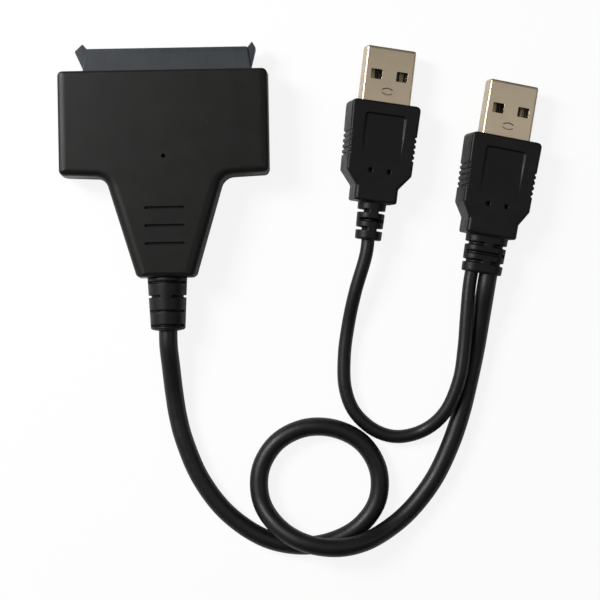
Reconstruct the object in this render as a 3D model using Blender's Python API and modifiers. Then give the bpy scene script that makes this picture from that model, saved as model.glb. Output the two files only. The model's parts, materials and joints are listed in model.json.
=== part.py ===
# USB to SATA adapter: a T-shaped head with a 22-way connector, one looped main
# cable, and two USB plugs joined by a thin power cable.
# Metres, +Z up. The head lies flat with its connector toward +Y, and the origin
# is at the middle of the head's base.

import math

import bmesh
import bpy
from mathutils import Matrix, Vector

# Fits
CLEARANCE = 0.0003          # between pieces that seat on each other
CONTACT_CLEARANCE = 0.0002  # round the thin metal contacts
REACH = 0.002               # how far a cutter runs past the face it opens

# Head housing
HOUSING_WIDTH = 0.0495
HOUSING_LENGTH = 0.0489
HOUSING_THICKNESS = 0.0110
WING_DEPTH = 0.0253
WING_RISE = 0.0005          # how much shallower a wing is at its outer end
NECK_ROOT_WIDTH = 0.0280
NECK_END_WIDTH = 0.0139
ROOT_FILLET = 0.0032
EDGE_RADIUS = 0.0013
DRAFT_ANGLE = math.radians(3.0)
WALL = 0.0018
ROOF = 0.0016
LIP_HEIGHT = 0.0012
FLANGE_RIB_WIDTH = 0.0040
FLANGE_RIB_OVERLAP = 0.0008  # how far a rib reaches over the flange that it traps

# Details in the roof of the upper shell
GRIP_GROOVE_COUNT = 3
GRIP_GROOVE_LENGTH = 0.0094
GRIP_GROOVE_WIDTH = 0.0006
GRIP_GROOVE_DEPTH = 0.0005
GRIP_GROOVE_PITCH = 0.0042
GRIP_FROM_BACK = 0.0080
LIGHT_HOLE_RADIUS = 0.0005
LIGHT_FROM_FRONT = 0.0204

# SATA connector
CONNECTOR_WIDTH = 0.0390
CONNECTOR_THICKNESS = 0.0050
CONNECTOR_PROTRUSION = 0.0053
CONNECTOR_INSIDE = 0.0080
FLANGE_SIDE_GAP = 0.00125   # between the connector's flange and the side wall
FLANGE_THICKNESS = 0.0066
FLANGE_DEPTH = 0.0016
EAR_FLARE = 0.0016
EAR_TIP = 0.0012
EAR_TIP_WIDTH = 0.0008
EAR_THICKNESS = 0.0042
EAR_FROM_FRONT = 0.0005     # straight stretch of the body before the ears flare
CONTACT_PITCH = 0.00127
DATA_CONTACTS = 7
POWER_CONTACTS = 15
DATA_TO_POWER = 0.00635
SLOT_DEPTH = 0.0050
SLOT_HEIGHT = 0.0013
SLOT_OVER_CENTRE = 0.0002
SLOT_END_MARGIN = 0.0014
KEY_WIDTH = 0.0013
KEY_DROP = 0.0012
KEY_FROM_CONTACT = 0.00085
CONTACT_WIDTH = 0.0006
CONTACT_SHEET = 0.00025
CONTACT_UNDER_CENTRE = 0.00075
CONTACT_RISE = 0.0009
CONTACT_SETBACK = 0.0006
TAIL_LENGTH = 0.0018
TAIL_BEND = 0.0005          # run of the slope between tail and blade

# Circuit board and what stands on it
BOARD_THICKNESS = 0.0010
BOARD_TOP_UNDER_CENTRE = 0.0016
BOARD_SIDE_GAP = 0.00195    # between the board and the side wall
BOARD_DEPTH = 0.0135
BOARD_TONGUE_WIDTH = 0.0120
BOARD_TONGUE_LENGTH = 0.0075
BOARD_CORNER = 0.0008
POST_SPACING = 0.0350
POST_FROM_FRONT = 0.0180
POST_RADIUS = 0.0013
PIN_RADIUS = 0.0007
CHIP_SIZE = 0.0060
CHIP_HEIGHT = 0.0009
CHIP_ACROSS = -0.0075
CHIP_FROM_FRONT = 0.0155
CHIP_DIMPLE_RADIUS = 0.0003
CHIP_DIMPLE_DEPTH = 0.0001
CRYSTAL_FROM_POST = 0.0030  # between the middles of the crystal and the left post
CAPACITOR_ACROSS = 0.0010
CAPACITOR_FROM_FRONT = 0.0140
CAPACITOR_PITCH = 0.0030
REGULATOR_ACROSS = 0.0100
REGULATOR_LEG_PITCH = 0.0023
REGULATOR_LEG_REACH = 0.0012
COMPONENT_EDGE = 0.00015
CRYSTAL_SIZE = (0.0032, 0.0025, 0.0008)
CAPACITOR_SIZE = (0.0032, 0.0016, 0.0012)
LIGHT_SIZE = (0.0016, 0.0008, 0.0006)
REGULATOR_SIZE = (0.0065, 0.0035, 0.0016)
REGULATOR_LEG = 0.0007
CORE_WIRE_RADIUS = 0.0005
CORE_WIRE_PITCH = 0.0016
CORE_WIRE_LAND = 0.0018      # straight end that lies on the board
CORE_WIRE_SPACING = 0.0016

# Strain relief of the head
RELIEF_LENGTH = 0.0117
RELIEF_START_RADIUS = 0.00470
RELIEF_END_RADIUS = 0.00410
RELIEF_NECK_RADIUS = 0.0030
RELIEF_CORE_RADIUS = 0.0025
RELIEF_CONE_LENGTH = 0.0008
RELIEF_EDGE = 0.0003
RELIEF_FLANGE_WIDTH = 0.0094
RELIEF_FLANGE_HEIGHT = 0.0070
RELIEF_FLANGE_DEPTH = 0.0016
RELIEF_SLOTS = 4
RELIEF_SLOT_WIDTH = 0.0005
RELIEF_SLOT_PITCH = 0.0034
RELIEF_FIRST_SLOT = 0.0010
RELIEF_BRIDGE = 0.0026
CABLE_RIB = 0.0012

# Cables
MAIN_CABLE_RADIUS = 0.0022
POWER_CABLE_RADIUS = 0.0016
CABLE_POINT_SPACING = 0.0050
CABLE_PAIR_GAP = 0.0003
CABLE_LEAD = 0.0030         # straight stretch at each end

# USB plugs: metal shell
PLUG_WIDTH = 0.0120
PLUG_HEIGHT = 0.0045
PLUG_SHEET = 0.0003
PLUG_EXPOSED = 0.0130
PLUG_SEATED = 0.0060
PLUG_CORNER = 0.0006
PLUG_SEAM = 0.00012
LATCH_HOLE = (0.0027, 0.0023)
LATCH_HOLE_OFFSET = 0.0031
LATCH_HOLE_FROM_TIP = 0.0065
DIMPLE_SIZE = (0.0030, 0.0014)
DIMPLE_DEPTH = 0.00015
DIMPLE_FROM_TIP = 0.0103

# USB plugs: insulator and contacts
MATING_DEPTH = 0.0092
TONGUE_THICKNESS = 0.0016
TONGUE_SETBACK = 0.0004
USB_CONTACT_OFFSETS = (-0.0035, -0.0010, 0.0010, 0.0035)
USB_CONTACT_WIDTH = 0.0010
USB_CONTACT_SETBACK = 0.0010
USB_INNER_SETBACK = 0.0010
USB_CONTACT_NOSE = 0.0004

# USB plugs: moulded grips
GRIP_THICKNESS = 0.0080
GRIP_CORNER = 0.0006
GRIP_FRONT_EDGE = 0.0004
GRIP_FRONT_CORNER = 0.0011   # rounding of the front corners seen from above
FRONT_CORNER_STEPS = 3
GRIP_BODY = 0.0166
GRIP_SHOULDER = 0.0034
GRIP_NECK = 0.0035
GRIP_NECK_THICKNESS = 0.0076
GRIP_NECK_CORNER = 0.0010
GRIP_REAR_TAPER = 0.0008
PANEL_WIDTH = 0.0096
PANEL_LENGTH = 0.0122
PANEL_DEPTH = 0.0005
PANEL_RUNOUT = 0.00005       # how far the floor has risen past the surface at its rear
PANEL_FROM_FRONT = 0.0029
SIDE_GROOVES = 5
SIDE_GROOVE_PITCH = 0.0013
SIDE_GROOVE_WIDTH = 0.0005
SIDE_GROOVE_DEPTH = 0.0005
SIDE_GROOVES_FROM_FRONT = 0.0076
MARK_HOLE_RADIUS = 0.0005
MARK_HOLE_DEPTH = 0.0012
MARK_HOLE_SPACING = 0.0045
MARK_HOLE_FROM_FRONT = 0.0162
SLEEVE_LENGTH = 0.0089
SLEEVE_SLOTS = 3
SLEEVE_SLOT_WIDTH = 0.0007
SLEEVE_SLOT_PITCH = 0.0021
SLEEVE_FIRST_SLOT = 0.0022
SLEEVE_BRIDGE = 0.0020
SLEEVE_TAPER = 0.0005
SLEEVE_CORE_SKIN = 0.0002    # rubber left round the cable under a slot

# Each plug: grip width, neck width, sleeve width and height, heading and roll,
# and the middle of the grip's front face
POWER_PLUG = {
    "grip_width": 0.0166,
    "neck_width": 0.0104,
    "sleeve_width": 0.0068,
    "sleeve_height": 0.0062,
    "heading": math.radians(-7.7),
    "roll": math.radians(11.0),
    "front": (0.0520, 0.0189),
}
DATA_PLUG = {
    "grip_width": 0.0172,
    "neck_width": 0.0124,
    "sleeve_width": 0.0102,
    "sleeve_height": 0.0062,
    "heading": math.radians(-10.4),
    "roll": math.radians(10.5),
    "front": (0.0802, 0.0103),
}

# Cable routes between their ends, in the order they run, as laid out on the
# table. The main cable turns one loop and passes over itself at its foot.
FLOOR_MAIN = MAIN_CABLE_RADIUS + 0.0001
FLOOR_POWER = POWER_CABLE_RADIUS + 0.0001
MAIN_ROUTE = (
    (0.0004, -0.0425, 0.0043),
    (0.0009, -0.0485, 0.0029),
    (0.0017, -0.0545, FLOOR_MAIN),
    (0.0031, -0.0602, FLOOR_MAIN),
    (0.0069, -0.0695, FLOOR_MAIN),
    (0.0133, -0.0780, FLOOR_MAIN),
    (0.0223, -0.0841, FLOOR_MAIN),
    (0.0312, -0.0859, FLOOR_MAIN),
    (0.0386, -0.0847, FLOOR_MAIN),
    (0.0448, -0.0813, FLOOR_MAIN),
    (0.0490, -0.0754, FLOOR_MAIN),
    (0.0493, -0.0680, FLOOR_MAIN),
    (0.0456, -0.0616, FLOOR_MAIN),
    (0.0392, -0.0581, FLOOR_MAIN),
    (0.0319, -0.0578, FLOOR_MAIN),
    (0.0252, -0.0611, FLOOR_MAIN),
    (0.0212, -0.0675, FLOOR_MAIN),
    (0.0213, -0.0750, 0.0030),
    (0.0253, -0.0809, 0.0054),
    (0.0314, -0.0845, 0.0071),
    (0.0390, -0.0858, 0.0071),
    (0.0454, -0.0848, 0.0060),
    (0.0513, -0.0821, 0.0036),
    (0.0567, -0.0779, 0.0024),
    (0.0624, -0.0708, FLOOR_MAIN),
    (0.0667, -0.0623, FLOOR_MAIN),
    (0.0694, -0.0547, FLOOR_MAIN),
    (0.0714, -0.0470, FLOOR_MAIN),
    (0.0730, -0.0400, 0.0024),
    (0.0743, -0.0325, 0.0034),
)
POWER_ROUTE = (
    (0.0707, -0.0317, 0.0058),
    (0.0700, -0.0393, 0.0056),
    (0.0687, -0.0468, 0.0055),
    (0.0653, -0.0545, 0.0043),
    (0.0603, -0.0589, 0.0020),
    (0.0540, -0.0603, FLOOR_POWER),
    (0.0487, -0.0587, FLOOR_POWER),
    (0.0439, -0.0542, FLOOR_POWER),
    (0.0418, -0.0485, FLOOR_POWER),
    (0.0417, -0.0408, FLOOR_POWER),
    (0.0428, -0.0331, 0.0023),
    (0.0445, -0.0255, 0.0042),
)

# Places worked out from the sizes above
CENTRE_Z = HOUSING_THICKNESS / 2
HEAD_LENGTH = EAR_TIP + CONNECTOR_PROTRUSION + HOUSING_LENGTH + RELIEF_LENGTH + RELIEF_CONE_LENGTH
FRONT_Y = HEAD_LENGTH / 2 - EAR_TIP - CONNECTOR_PROTRUSION
BACK_Y = FRONT_Y - HOUSING_LENGTH
FACE_Y = FRONT_Y + CONNECTOR_PROTRUSION
CONNECTOR_REAR_Y = FRONT_Y - CONNECTOR_INSIDE
FLANGE_WIDTH = HOUSING_WIDTH - 2 * (WALL + FLANGE_SIDE_GAP)
BOARD_WIDTH = HOUSING_WIDTH - 2 * (WALL + BOARD_SIDE_GAP)
BOARD_TOP_Z = CENTRE_Z - BOARD_TOP_UNDER_CENTRE
BOARD_FRONT_Y = CONNECTOR_REAR_Y - CLEARANCE
BOARD_SURFACE_Z = BOARD_TOP_Z + CONTACT_CLEARANCE
POST_Y = FRONT_Y - POST_FROM_FRONT
RELIEF_END_Y = BACK_Y - RELIEF_LENGTH - RELIEF_CONE_LENGTH
SLOT_FLOOR_Z = CENTRE_Z + SLOT_OVER_CENTRE
CONTACT_Z = CENTRE_Z - CONTACT_UNDER_CENTRE

PARTS_NAME = "usb_to_sata_adapter"
CUTTERS_NAME = "cutters"


def clear_scene():
    for old in list(bpy.data.objects):
        bpy.data.objects.remove(old, do_unlink=True)


def make_collection(name):
    collection = bpy.data.collections.new(name)
    bpy.context.scene.collection.children.link(collection)
    return collection


def make_material(name, colour, roughness, metallic=0.0):
    material = bpy.data.materials.new(name)
    material.use_nodes = True
    shader = material.node_tree.nodes["Principled BSDF"]
    shader.inputs["Base Color"].default_value = (*colour, 1.0)
    shader.inputs["Roughness"].default_value = roughness
    shader.inputs["Metallic"].default_value = metallic
    material.diffuse_color = (*colour, 1.0)
    return material


def make_materials():
    return {
        "housing": make_material("housing_plastic", (0.030, 0.029, 0.028), 0.55),
        "connector": make_material("connector_plastic", (0.062, 0.072, 0.082), 0.50),
        "grip": make_material("grip_rubber", (0.013, 0.013, 0.013), 0.50),
        "cable": make_material("cable_rubber", (0.010, 0.010, 0.010), 0.45),
        "insulator": make_material("insulator_plastic", (0.020, 0.020, 0.020), 0.50),
        "steel": make_material("plated_steel", (0.55, 0.50, 0.43), 0.30, 1.0),
        "gold": make_material("gilded_contact", (0.75, 0.56, 0.25), 0.30, 1.0),
        "board": make_material("circuit_board", (0.02, 0.14, 0.06), 0.40),
        "chip": make_material("chip_resin", (0.02, 0.02, 0.02), 0.60),
        "ceramic": make_material("ceramic", (0.45, 0.36, 0.24), 0.50),
        "light": make_material("light_lens", (0.80, 0.80, 0.70), 0.20),
        "wire_red": make_material("wire_red", (0.60, 0.03, 0.03), 0.45),
        "wire_white": make_material("wire_white", (0.75, 0.75, 0.72), 0.45),
        "wire_green": make_material("wire_green", (0.03, 0.35, 0.08), 0.45),
        "wire_black": make_material("wire_black", (0.02, 0.02, 0.02), 0.45),
    }


class Workshop:
    """Keeps the two collections and adds pieces and cutters to them."""

    def __init__(self):
        self.parts = make_collection(PARTS_NAME)
        self.cutters = make_collection(CUTTERS_NAME)
        self.materials = make_materials()

    def add_part(self, name, data, material, parent=None):
        thing = bpy.data.objects.new(name, data)
        thing.data.materials.clear()
        thing.data.materials.append(self.materials[material])
        thing.parent = parent
        self.parts.objects.link(thing)
        return thing

    def add_cutter(self, name, data, parent=None):
        thing = bpy.data.objects.new(name, data)
        thing.parent = parent
        thing.hide_render = True
        thing.display_type = "WIRE"
        self.cutters.objects.link(thing)
        return thing

    def combine(self, target, tool_name, tool_mesh, operation):
        tool = self.add_cutter(tool_name, tool_mesh, target.parent)
        step = target.modifiers.new(tool_name, "BOOLEAN")
        step.object = tool
        step.operation = operation
        step.solver = "EXACT"

    def cut(self, target, tool_name, tool_mesh):
        self.combine(target, tool_name, tool_mesh, "DIFFERENCE")

    def join(self, target, tool_name, tool_mesh):
        self.combine(target, tool_name, tool_mesh, "UNION")


def finish_mesh(name, bm):
    mesh = bpy.data.meshes.new(name)
    bm.normal_update()
    bm.to_mesh(mesh)
    bm.free()
    mesh.shade_smooth()
    mesh.set_sharp_from_angle(angle=math.radians(35))
    return mesh


def add_box(bm, size, centre):
    made = bmesh.ops.create_cube(bm, size=1.0)
    for vertex in made["verts"]:
        vertex.co = Vector(centre) + Vector(tuple(vertex.co[i] * size[i] for i in range(3)))
    return made["verts"]


def box_mesh(name, size, centre, bevel=0.0):
    bm = bmesh.new()
    add_box(bm, size, centre)
    if bevel:
        bmesh.ops.bevel(bm, geom=list(bm.edges), offset=bevel, segments=2, affect="EDGES", profile=0.5)
    return finish_mesh(name, bm)


def add_cylinder(bm, radius, depth, centre, axis="Z", segments=20):
    made = bmesh.ops.create_cone(
        bm, cap_ends=True, segments=segments, radius1=radius, radius2=radius, depth=depth)
    for vertex in made["verts"]:
        x, y, z = vertex.co
        if axis == "Y":
            x, y, z = x, z, -y
        vertex.co = Vector(centre) + Vector((x, y, z))


def cylinder_mesh(name, radius, depth, centre, axis="Z", segments=20):
    bm = bmesh.new()
    add_cylinder(bm, radius, depth, centre, axis, segments)
    return finish_mesh(name, bm)


def offset_corners(corners, inset):
    """Corners of a counter-clockwise outline after each side moves inward."""
    sides = []
    count = len(corners)
    for i in range(count):
        start = Vector(corners[i])
        along = (Vector(corners[(i + 1) % count]) - start).normalized()
        inward = Vector((-along.y, along.x))
        sides.append((start + inward * inset, along))
    moved = []
    for i in range(count):
        point, along = sides[i - 1]
        other, other_along = sides[i]
        cross = along.x * other_along.y - along.y * other_along.x
        gap = other - point
        step = (gap.x * other_along.y - gap.y * other_along.x) / cross
        moved.append(tuple(point + along * step))
    return moved


def round_corners(corners, radii, steps):
    """Replaces the corners named in radii by arcs of that radius."""
    outline = []
    count = len(corners)
    for i in range(count):
        corner = Vector(corners[i])
        radius = radii.get(i, 0.0)
        if radius <= 0.0:
            outline.append(tuple(corner))
            continue
        back = (Vector(corners[i - 1]) - corner).normalized()
        ahead = (Vector(corners[(i + 1) % count]) - corner).normalized()
        half = back.angle(ahead) / 2
        centre = corner + (back + ahead).normalized() * (radius / math.sin(half))
        start = corner + back * (radius / math.tan(half)) - centre
        end = corner + ahead * (radius / math.tan(half)) - centre
        turn = math.atan2(start.x * end.y - start.y * end.x, start.dot(end))
        for k in range(steps + 1):
            spoke = start.copy()
            spoke.rotate(Matrix.Rotation(turn * k / steps, 2))
            outline.append(tuple(centre + spoke))
    return outline


def evaluated_mesh(holder):
    """The mesh that a helper object's curve or modifiers give. The helper goes."""
    bpy.context.scene.collection.objects.link(holder)
    bpy.context.view_layer.update()
    evaluated = holder.evaluated_get(bpy.context.evaluated_depsgraph_get())
    mesh = bpy.data.meshes.new_from_object(evaluated)
    bpy.data.objects.remove(holder, do_unlink=True)
    return mesh


def circle_outline(x, y, radius, sides):
    return [
        (x + radius * math.cos(2 * math.pi * k / sides), y + radius * math.sin(2 * math.pi * k / sides))
        for k in range(sides)]


def slab_mesh(name, outline, z_low, z_high, holes=()):
    """A flat outline with thickness and through holes, drawn as a filled 2D curve and made a mesh."""
    curve = bpy.data.curves.new(name, "CURVE")
    curve.dimensions = "2D"
    curve.fill_mode = "BOTH"
    curve.extrude = (z_high - z_low) / 2
    for ring in (outline, *holes):
        spline = curve.splines.new("POLY")
        spline.points.add(len(ring) - 1)
        for point, (x, y) in zip(spline.points, ring):
            point.co = (x, y, 0.0, 1.0)
        spline.use_cyclic_u = True
    raw = evaluated_mesh(bpy.data.objects.new(name, curve))
    bm = bmesh.new()
    bm.from_mesh(raw)
    bpy.data.meshes.remove(raw)
    bmesh.ops.remove_doubles(bm, verts=list(bm.verts), dist=0.000001)
    bmesh.ops.recalc_face_normals(bm, faces=list(bm.faces))
    bmesh.ops.dissolve_limit(bm, angle_limit=0.001, verts=list(bm.verts), edges=list(bm.edges))
    bmesh.ops.translate(bm, verts=list(bm.verts), vec=(0.0, 0.0, (z_low + z_high) / 2))
    return finish_mesh(name, bm)


def rounded_section(width, height, radius, steps=4):
    """Points of a rounded rectangle round the origin, the same number each time."""
    radius = min(radius, width / 2, height / 2)
    points = []
    for quarter, (sx, sz) in enumerate(((1, 1), (-1, 1), (-1, -1), (1, -1))):
        cx = sx * (width / 2 - radius)
        cz = sz * (height / 2 - radius)
        for k in range(steps + 1):
            angle = math.pi / 2 * (quarter + k / steps)
            points.append((cx + radius * math.cos(angle), cz + radius * math.sin(angle)))
    return points


def loft_along_y(name, stations):
    """Skins unlike sections. Each station is y and a list of x, z points."""
    bm = bmesh.new()
    rings = []
    for y, section in stations:
        rings.append([bm.verts.new((x, y, z)) for x, z in section])
    for first, second in zip(rings, rings[1:]):
        count = len(first)
        for i in range(count):
            j = (i + 1) % count
            bm.faces.new((first[i], first[j], second[j], second[i]))
    bm.faces.new(rings[0])
    bm.faces.new(rings[-1])
    bmesh.ops.remove_doubles(bm, verts=list(bm.verts), dist=0.0000005)
    bmesh.ops.recalc_face_normals(bm, faces=list(bm.faces))
    return finish_mesh(name, bm)


def sheet_strip(name, path, width, sheet, centre_x):
    """A thin metal strip that follows y, z points, thickened by Solidify later."""
    bm = bmesh.new()
    rows = []
    for y, z in path:
        left = bm.verts.new((centre_x - width / 2, y, z - sheet / 2))
        right = bm.verts.new((centre_x + width / 2, y, z - sheet / 2))
        rows.append((left, right))
    for (a, b), (c, d) in zip(rows, rows[1:]):
        bm.faces.new((a, b, d, c))
    bm.faces.ensure_lookup_table()
    bm.normal_update()
    if bm.faces[0].normal.z < 0:
        bmesh.ops.reverse_faces(bm, faces=list(bm.faces))
    return finish_mesh(name, bm)


def solidify(thing, thickness, offset):
    step = thing.modifiers.new("sheet", "SOLIDIFY")
    step.thickness = thickness
    step.offset = offset
    step.use_even_offset = True


def housing_outline(inset):
    """The T seen from above, counter-clockwise, moved in by inset."""
    half = HOUSING_WIDTH / 2
    wing_y = FRONT_Y - WING_DEPTH
    left = [
        (-half, FRONT_Y),
        (-half, wing_y + WING_RISE),
        (-NECK_ROOT_WIDTH / 2, wing_y),
        (-NECK_END_WIDTH / 2, BACK_Y),
    ]
    corners = left + [(-x, y) for x, y in reversed(left)]
    fillet = ROOT_FILLET + inset
    return round_corners(offset_corners(corners, inset), {2: fillet, 5: fillet}, 6)


def shell_block(name, upward):
    """One half of the housing before it is hollowed: drafted sides and soft edges."""
    part_z = CENTRE_Z + (CLEARANCE / 2 if upward else -CLEARANCE / 2)
    outer_z = HOUSING_THICKNESS if upward else 0.0
    mesh = slab_mesh(name, housing_outline(0.0), min(part_z, outer_z), max(part_z, outer_z))
    wide = [Vector(p) for p in housing_outline(0.0)]
    narrow = housing_outline(abs(outer_z - part_z) * math.tan(DRAFT_ANGLE))
    bm = bmesh.new()
    bm.from_mesh(mesh)
    weight = bm.edges.layers.float.new("bevel_weight_edge")
    outer = [v for v in bm.verts if abs(v.co.z - outer_z) < 0.00001]
    for vertex in outer:
        flat = vertex.co.to_2d()
        nearest = min(range(len(wide)), key=lambda i: (wide[i] - flat).length)
        vertex.co.x, vertex.co.y = narrow[nearest]
    for edge in bm.edges:
        ends = [abs(v.co.z - outer_z) < 0.00001 for v in edge.verts]
        if len(edge.link_faces) != 2:
            continue
        rim = all(ends) and edge.calc_face_angle() > math.radians(60)
        corner = any(ends) and not all(ends) and edge.calc_face_angle() > math.radians(40)
        if rim or corner:
            edge[weight] = 1.0
    bm.to_mesh(mesh)
    bm.free()
    return mesh


def soften_edges(thing, width, segments=4):
    step = thing.modifiers.new("soft_edges", "BEVEL")
    step.limit_method = "WEIGHT"
    step.width = width
    step.segments = segments
    step.use_clamp_overlap = False
    weld = thing.modifiers.new("weld", "WELD")
    weld.merge_threshold = 0.00001


def turned_mesh(name, profile, segments, axis="Z", place=(0.0, 0.0, 0.0)):
    """Turns a radius, height profile, given from its far end, about its axis."""
    line = [(0.0, profile[0][1]), *profile, (0.0, profile[-1][1])]
    mesh = bpy.data.meshes.new(name)
    if axis == "Y":
        points = [(radius, height, 0.0) for radius, height in line]
    else:
        points = [(radius, 0.0, height) for radius, height in line]
    mesh.from_pydata(points, [(i, i + 1) for i in range(len(points) - 1)], [])
    holder = bpy.data.objects.new(name, mesh)
    turn = holder.modifiers.new("turn", "SCREW")
    turn.axis = axis
    turn.steps = segments
    turn.render_steps = segments
    turn.use_merge_vertices = True
    turn.merge_threshold = 0.00001
    bm = bmesh.new()
    raw = evaluated_mesh(holder)
    bm.from_mesh(raw)
    bpy.data.meshes.remove(raw)
    bmesh.ops.remove_doubles(bm, verts=list(bm.verts), dist=0.000001)
    bmesh.ops.recalc_face_normals(bm, faces=list(bm.faces))
    bmesh.ops.translate(bm, verts=list(bm.verts), vec=place)
    return finish_mesh(name, bm)


def cut_openings(shop, shell):
    """The connector's mouth in the front wall and the relief's in the back wall."""
    name = shell.name
    mouth = (
        CONNECTOR_WIDTH + 2 * CLEARANCE,
        WALL + 2 * REACH,
        CONNECTOR_THICKNESS + 2 * CLEARANCE,
    )
    shop.cut(shell, name + "_mouth", box_mesh(name + "_mouth", mouth, (0.0, FRONT_Y, CENTRE_Z)))
    hole = cylinder_mesh(
        name + "_cable_hole", RELIEF_NECK_RADIUS + CLEARANCE, 2 * WALL + 2 * REACH,
        (0.0, BACK_Y, CENTRE_Z), "Y", 24)
    shop.cut(shell, name + "_cable_hole", hole)


def inner_ribs(name, side):
    """Ribs that trap the connector's flange and the strain relief's flange."""
    bm = bmesh.new()
    wall_z = 0.0 if side < 0 else HOUSING_THICKNESS
    flange_face = CENTRE_Z + side * (FLANGE_THICKNESS / 2 - FLANGE_RIB_OVERLAP)
    height = abs(wall_z - flange_face) - ROOF / 2
    centre_z = flange_face + side * height / 2
    y = FRONT_Y - WALL - FLANGE_DEPTH - 2 * CLEARANCE - CABLE_RIB / 2
    for x in (-FLANGE_WIDTH / 4, FLANGE_WIDTH / 4):
        add_box(bm, (FLANGE_RIB_WIDTH, CABLE_RIB, height), (x, y, centre_z))
    return finish_mesh(name, bm)


def neck_inside(y):
    """Half of the room between the neck's side walls at y."""
    slope = (NECK_ROOT_WIDTH - NECK_END_WIDTH) / 2 / (HOUSING_LENGTH - WING_DEPTH)
    return NECK_END_WIDTH / 2 + slope * (y - BACK_Y) - WALL * math.hypot(1.0, slope)


def cable_rib(name, side):
    """A wall across the neck, in front of the strain relief's flange."""
    flange_front = BACK_Y + WALL + RELIEF_FLANGE_DEPTH + 2 * CLEARANCE
    bottom = CENTRE_Z + side * CLEARANCE / 2
    top = (HOUSING_THICKNESS - ROOF / 2) if side > 0 else ROOF / 2
    half_width = neck_inside(flange_front) - CLEARANCE
    return box_mesh(
        name, (2 * half_width, CABLE_RIB, abs(top - bottom)),
        (0.0, flange_front + CABLE_RIB / 2, (top + bottom) / 2))


def cable_rib_notch(name):
    y = BACK_Y + WALL + RELIEF_FLANGE_DEPTH + CLEARANCE + CABLE_RIB
    return cylinder_mesh(name, RELIEF_CORE_RADIUS, 2 * CABLE_RIB + REACH, (0.0, y, CENTRE_Z), "Y", 16)


def build_upper_shell(shop):
    shell = shop.add_part("upper_shell", shell_block("upper_shell", True), "housing")
    soften_edges(shell, EDGE_RADIUS)
    cavity = slab_mesh(
        "upper_cavity", housing_outline(WALL), CENTRE_Z - REACH, HOUSING_THICKNESS - ROOF)
    shop.cut(shell, "upper_cavity", cavity)
    lap = slab_mesh(
        "upper_lap", housing_outline(WALL / 2 - CLEARANCE / 2),
        CENTRE_Z - REACH, CENTRE_Z + LIP_HEIGHT + CLEARANCE)
    shop.cut(shell, "upper_lap", lap)
    shop.join(shell, "upper_ribs", inner_ribs("upper_ribs", 1))
    shop.join(shell, "upper_cable_rib", cable_rib("upper_cable_rib", 1))
    shop.cut(shell, "upper_rib_notch", cable_rib_notch("upper_rib_notch"))
    boss = bmesh.new()
    boss_low = BOARD_TOP_Z + CLEARANCE
    boss_high = HOUSING_THICKNESS - ROOF / 2
    for x in (-POST_SPACING / 2, POST_SPACING / 2):
        add_cylinder(boss, POST_RADIUS, boss_high - boss_low, (x, POST_Y, (boss_low + boss_high) / 2))
    shop.join(shell, "upper_bosses", finish_mesh("upper_bosses", boss))
    socket = bmesh.new()
    socket_top = boss_low + 2 * PIN_RADIUS + CLEARANCE
    for x in (-POST_SPACING / 2, POST_SPACING / 2):
        add_cylinder(
            socket, PIN_RADIUS + CLEARANCE / 2, socket_top - boss_low + REACH / 4,
            (x, POST_Y, (socket_top + boss_low - REACH / 4) / 2), "Z", 12)
    shop.cut(shell, "upper_sockets", finish_mesh("upper_sockets", socket))
    cut_openings(shop, shell)
    light = cylinder_mesh(
        "light_hole", LIGHT_HOLE_RADIUS, ROOF + 2 * REACH,
        (0.0, FRONT_Y - LIGHT_FROM_FRONT, HOUSING_THICKNESS), "Z", 16)
    shop.cut(shell, "light_hole", light)
    grooves = bmesh.new()
    for k in range(GRIP_GROOVE_COUNT):
        y = BACK_Y + GRIP_FROM_BACK + k * GRIP_GROOVE_PITCH
        size = (GRIP_GROOVE_LENGTH, GRIP_GROOVE_WIDTH, 2 * GRIP_GROOVE_DEPTH)
        add_box(grooves, size, (0.0, y, HOUSING_THICKNESS))
    shop.cut(shell, "roof_grooves", finish_mesh("roof_grooves", grooves))


def build_lower_shell(shop):
    shell = shop.add_part("lower_shell", shell_block("lower_shell", False), "housing")
    soften_edges(shell, EDGE_RADIUS)
    lip = slab_mesh(
        "lower_lip", housing_outline(WALL / 2 + CLEARANCE / 2),
        CENTRE_Z - 2 * CLEARANCE, CENTRE_Z + LIP_HEIGHT)
    shop.join(shell, "lower_lip", lip)
    cavity = slab_mesh(
        "lower_cavity", housing_outline(WALL), ROOF, CENTRE_Z + LIP_HEIGHT + REACH)
    shop.cut(shell, "lower_cavity", cavity)
    shop.join(shell, "lower_ribs", inner_ribs("lower_ribs", -1))
    shop.join(shell, "lower_cable_rib", cable_rib("lower_cable_rib", -1))
    shop.cut(shell, "lower_rib_notch", cable_rib_notch("lower_rib_notch"))
    post_top = BOARD_TOP_Z - BOARD_THICKNESS - CLEARANCE
    pin_top = BOARD_TOP_Z + CLEARANCE + 2 * PIN_RADIUS
    for side, x in (("left", -POST_SPACING / 2), ("right", POST_SPACING / 2)):
        profile = (
            (PIN_RADIUS * 0.7, pin_top),
            (PIN_RADIUS, pin_top - PIN_RADIUS / 3),
            (PIN_RADIUS, post_top),
            (POST_RADIUS, post_top),
            (POST_RADIUS, ROOF / 2),
        )
        post = turned_mesh("lower_post_" + side, profile, 12, "Z", (x, POST_Y, 0.0))
        shop.join(shell, "lower_post_" + side, post)
    cut_openings(shop, shell)


def contact_places():
    """Middles of the data and the power contacts across the connector."""
    data_span = (DATA_CONTACTS - 1) * CONTACT_PITCH
    power_span = (POWER_CONTACTS - 1) * CONTACT_PITCH
    start = -(data_span + DATA_TO_POWER + power_span) / 2
    data = [start + k * CONTACT_PITCH for k in range(DATA_CONTACTS)]
    power_start = start + data_span + DATA_TO_POWER
    power = [power_start + k * CONTACT_PITCH for k in range(POWER_CONTACTS)]
    return data, power


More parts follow.
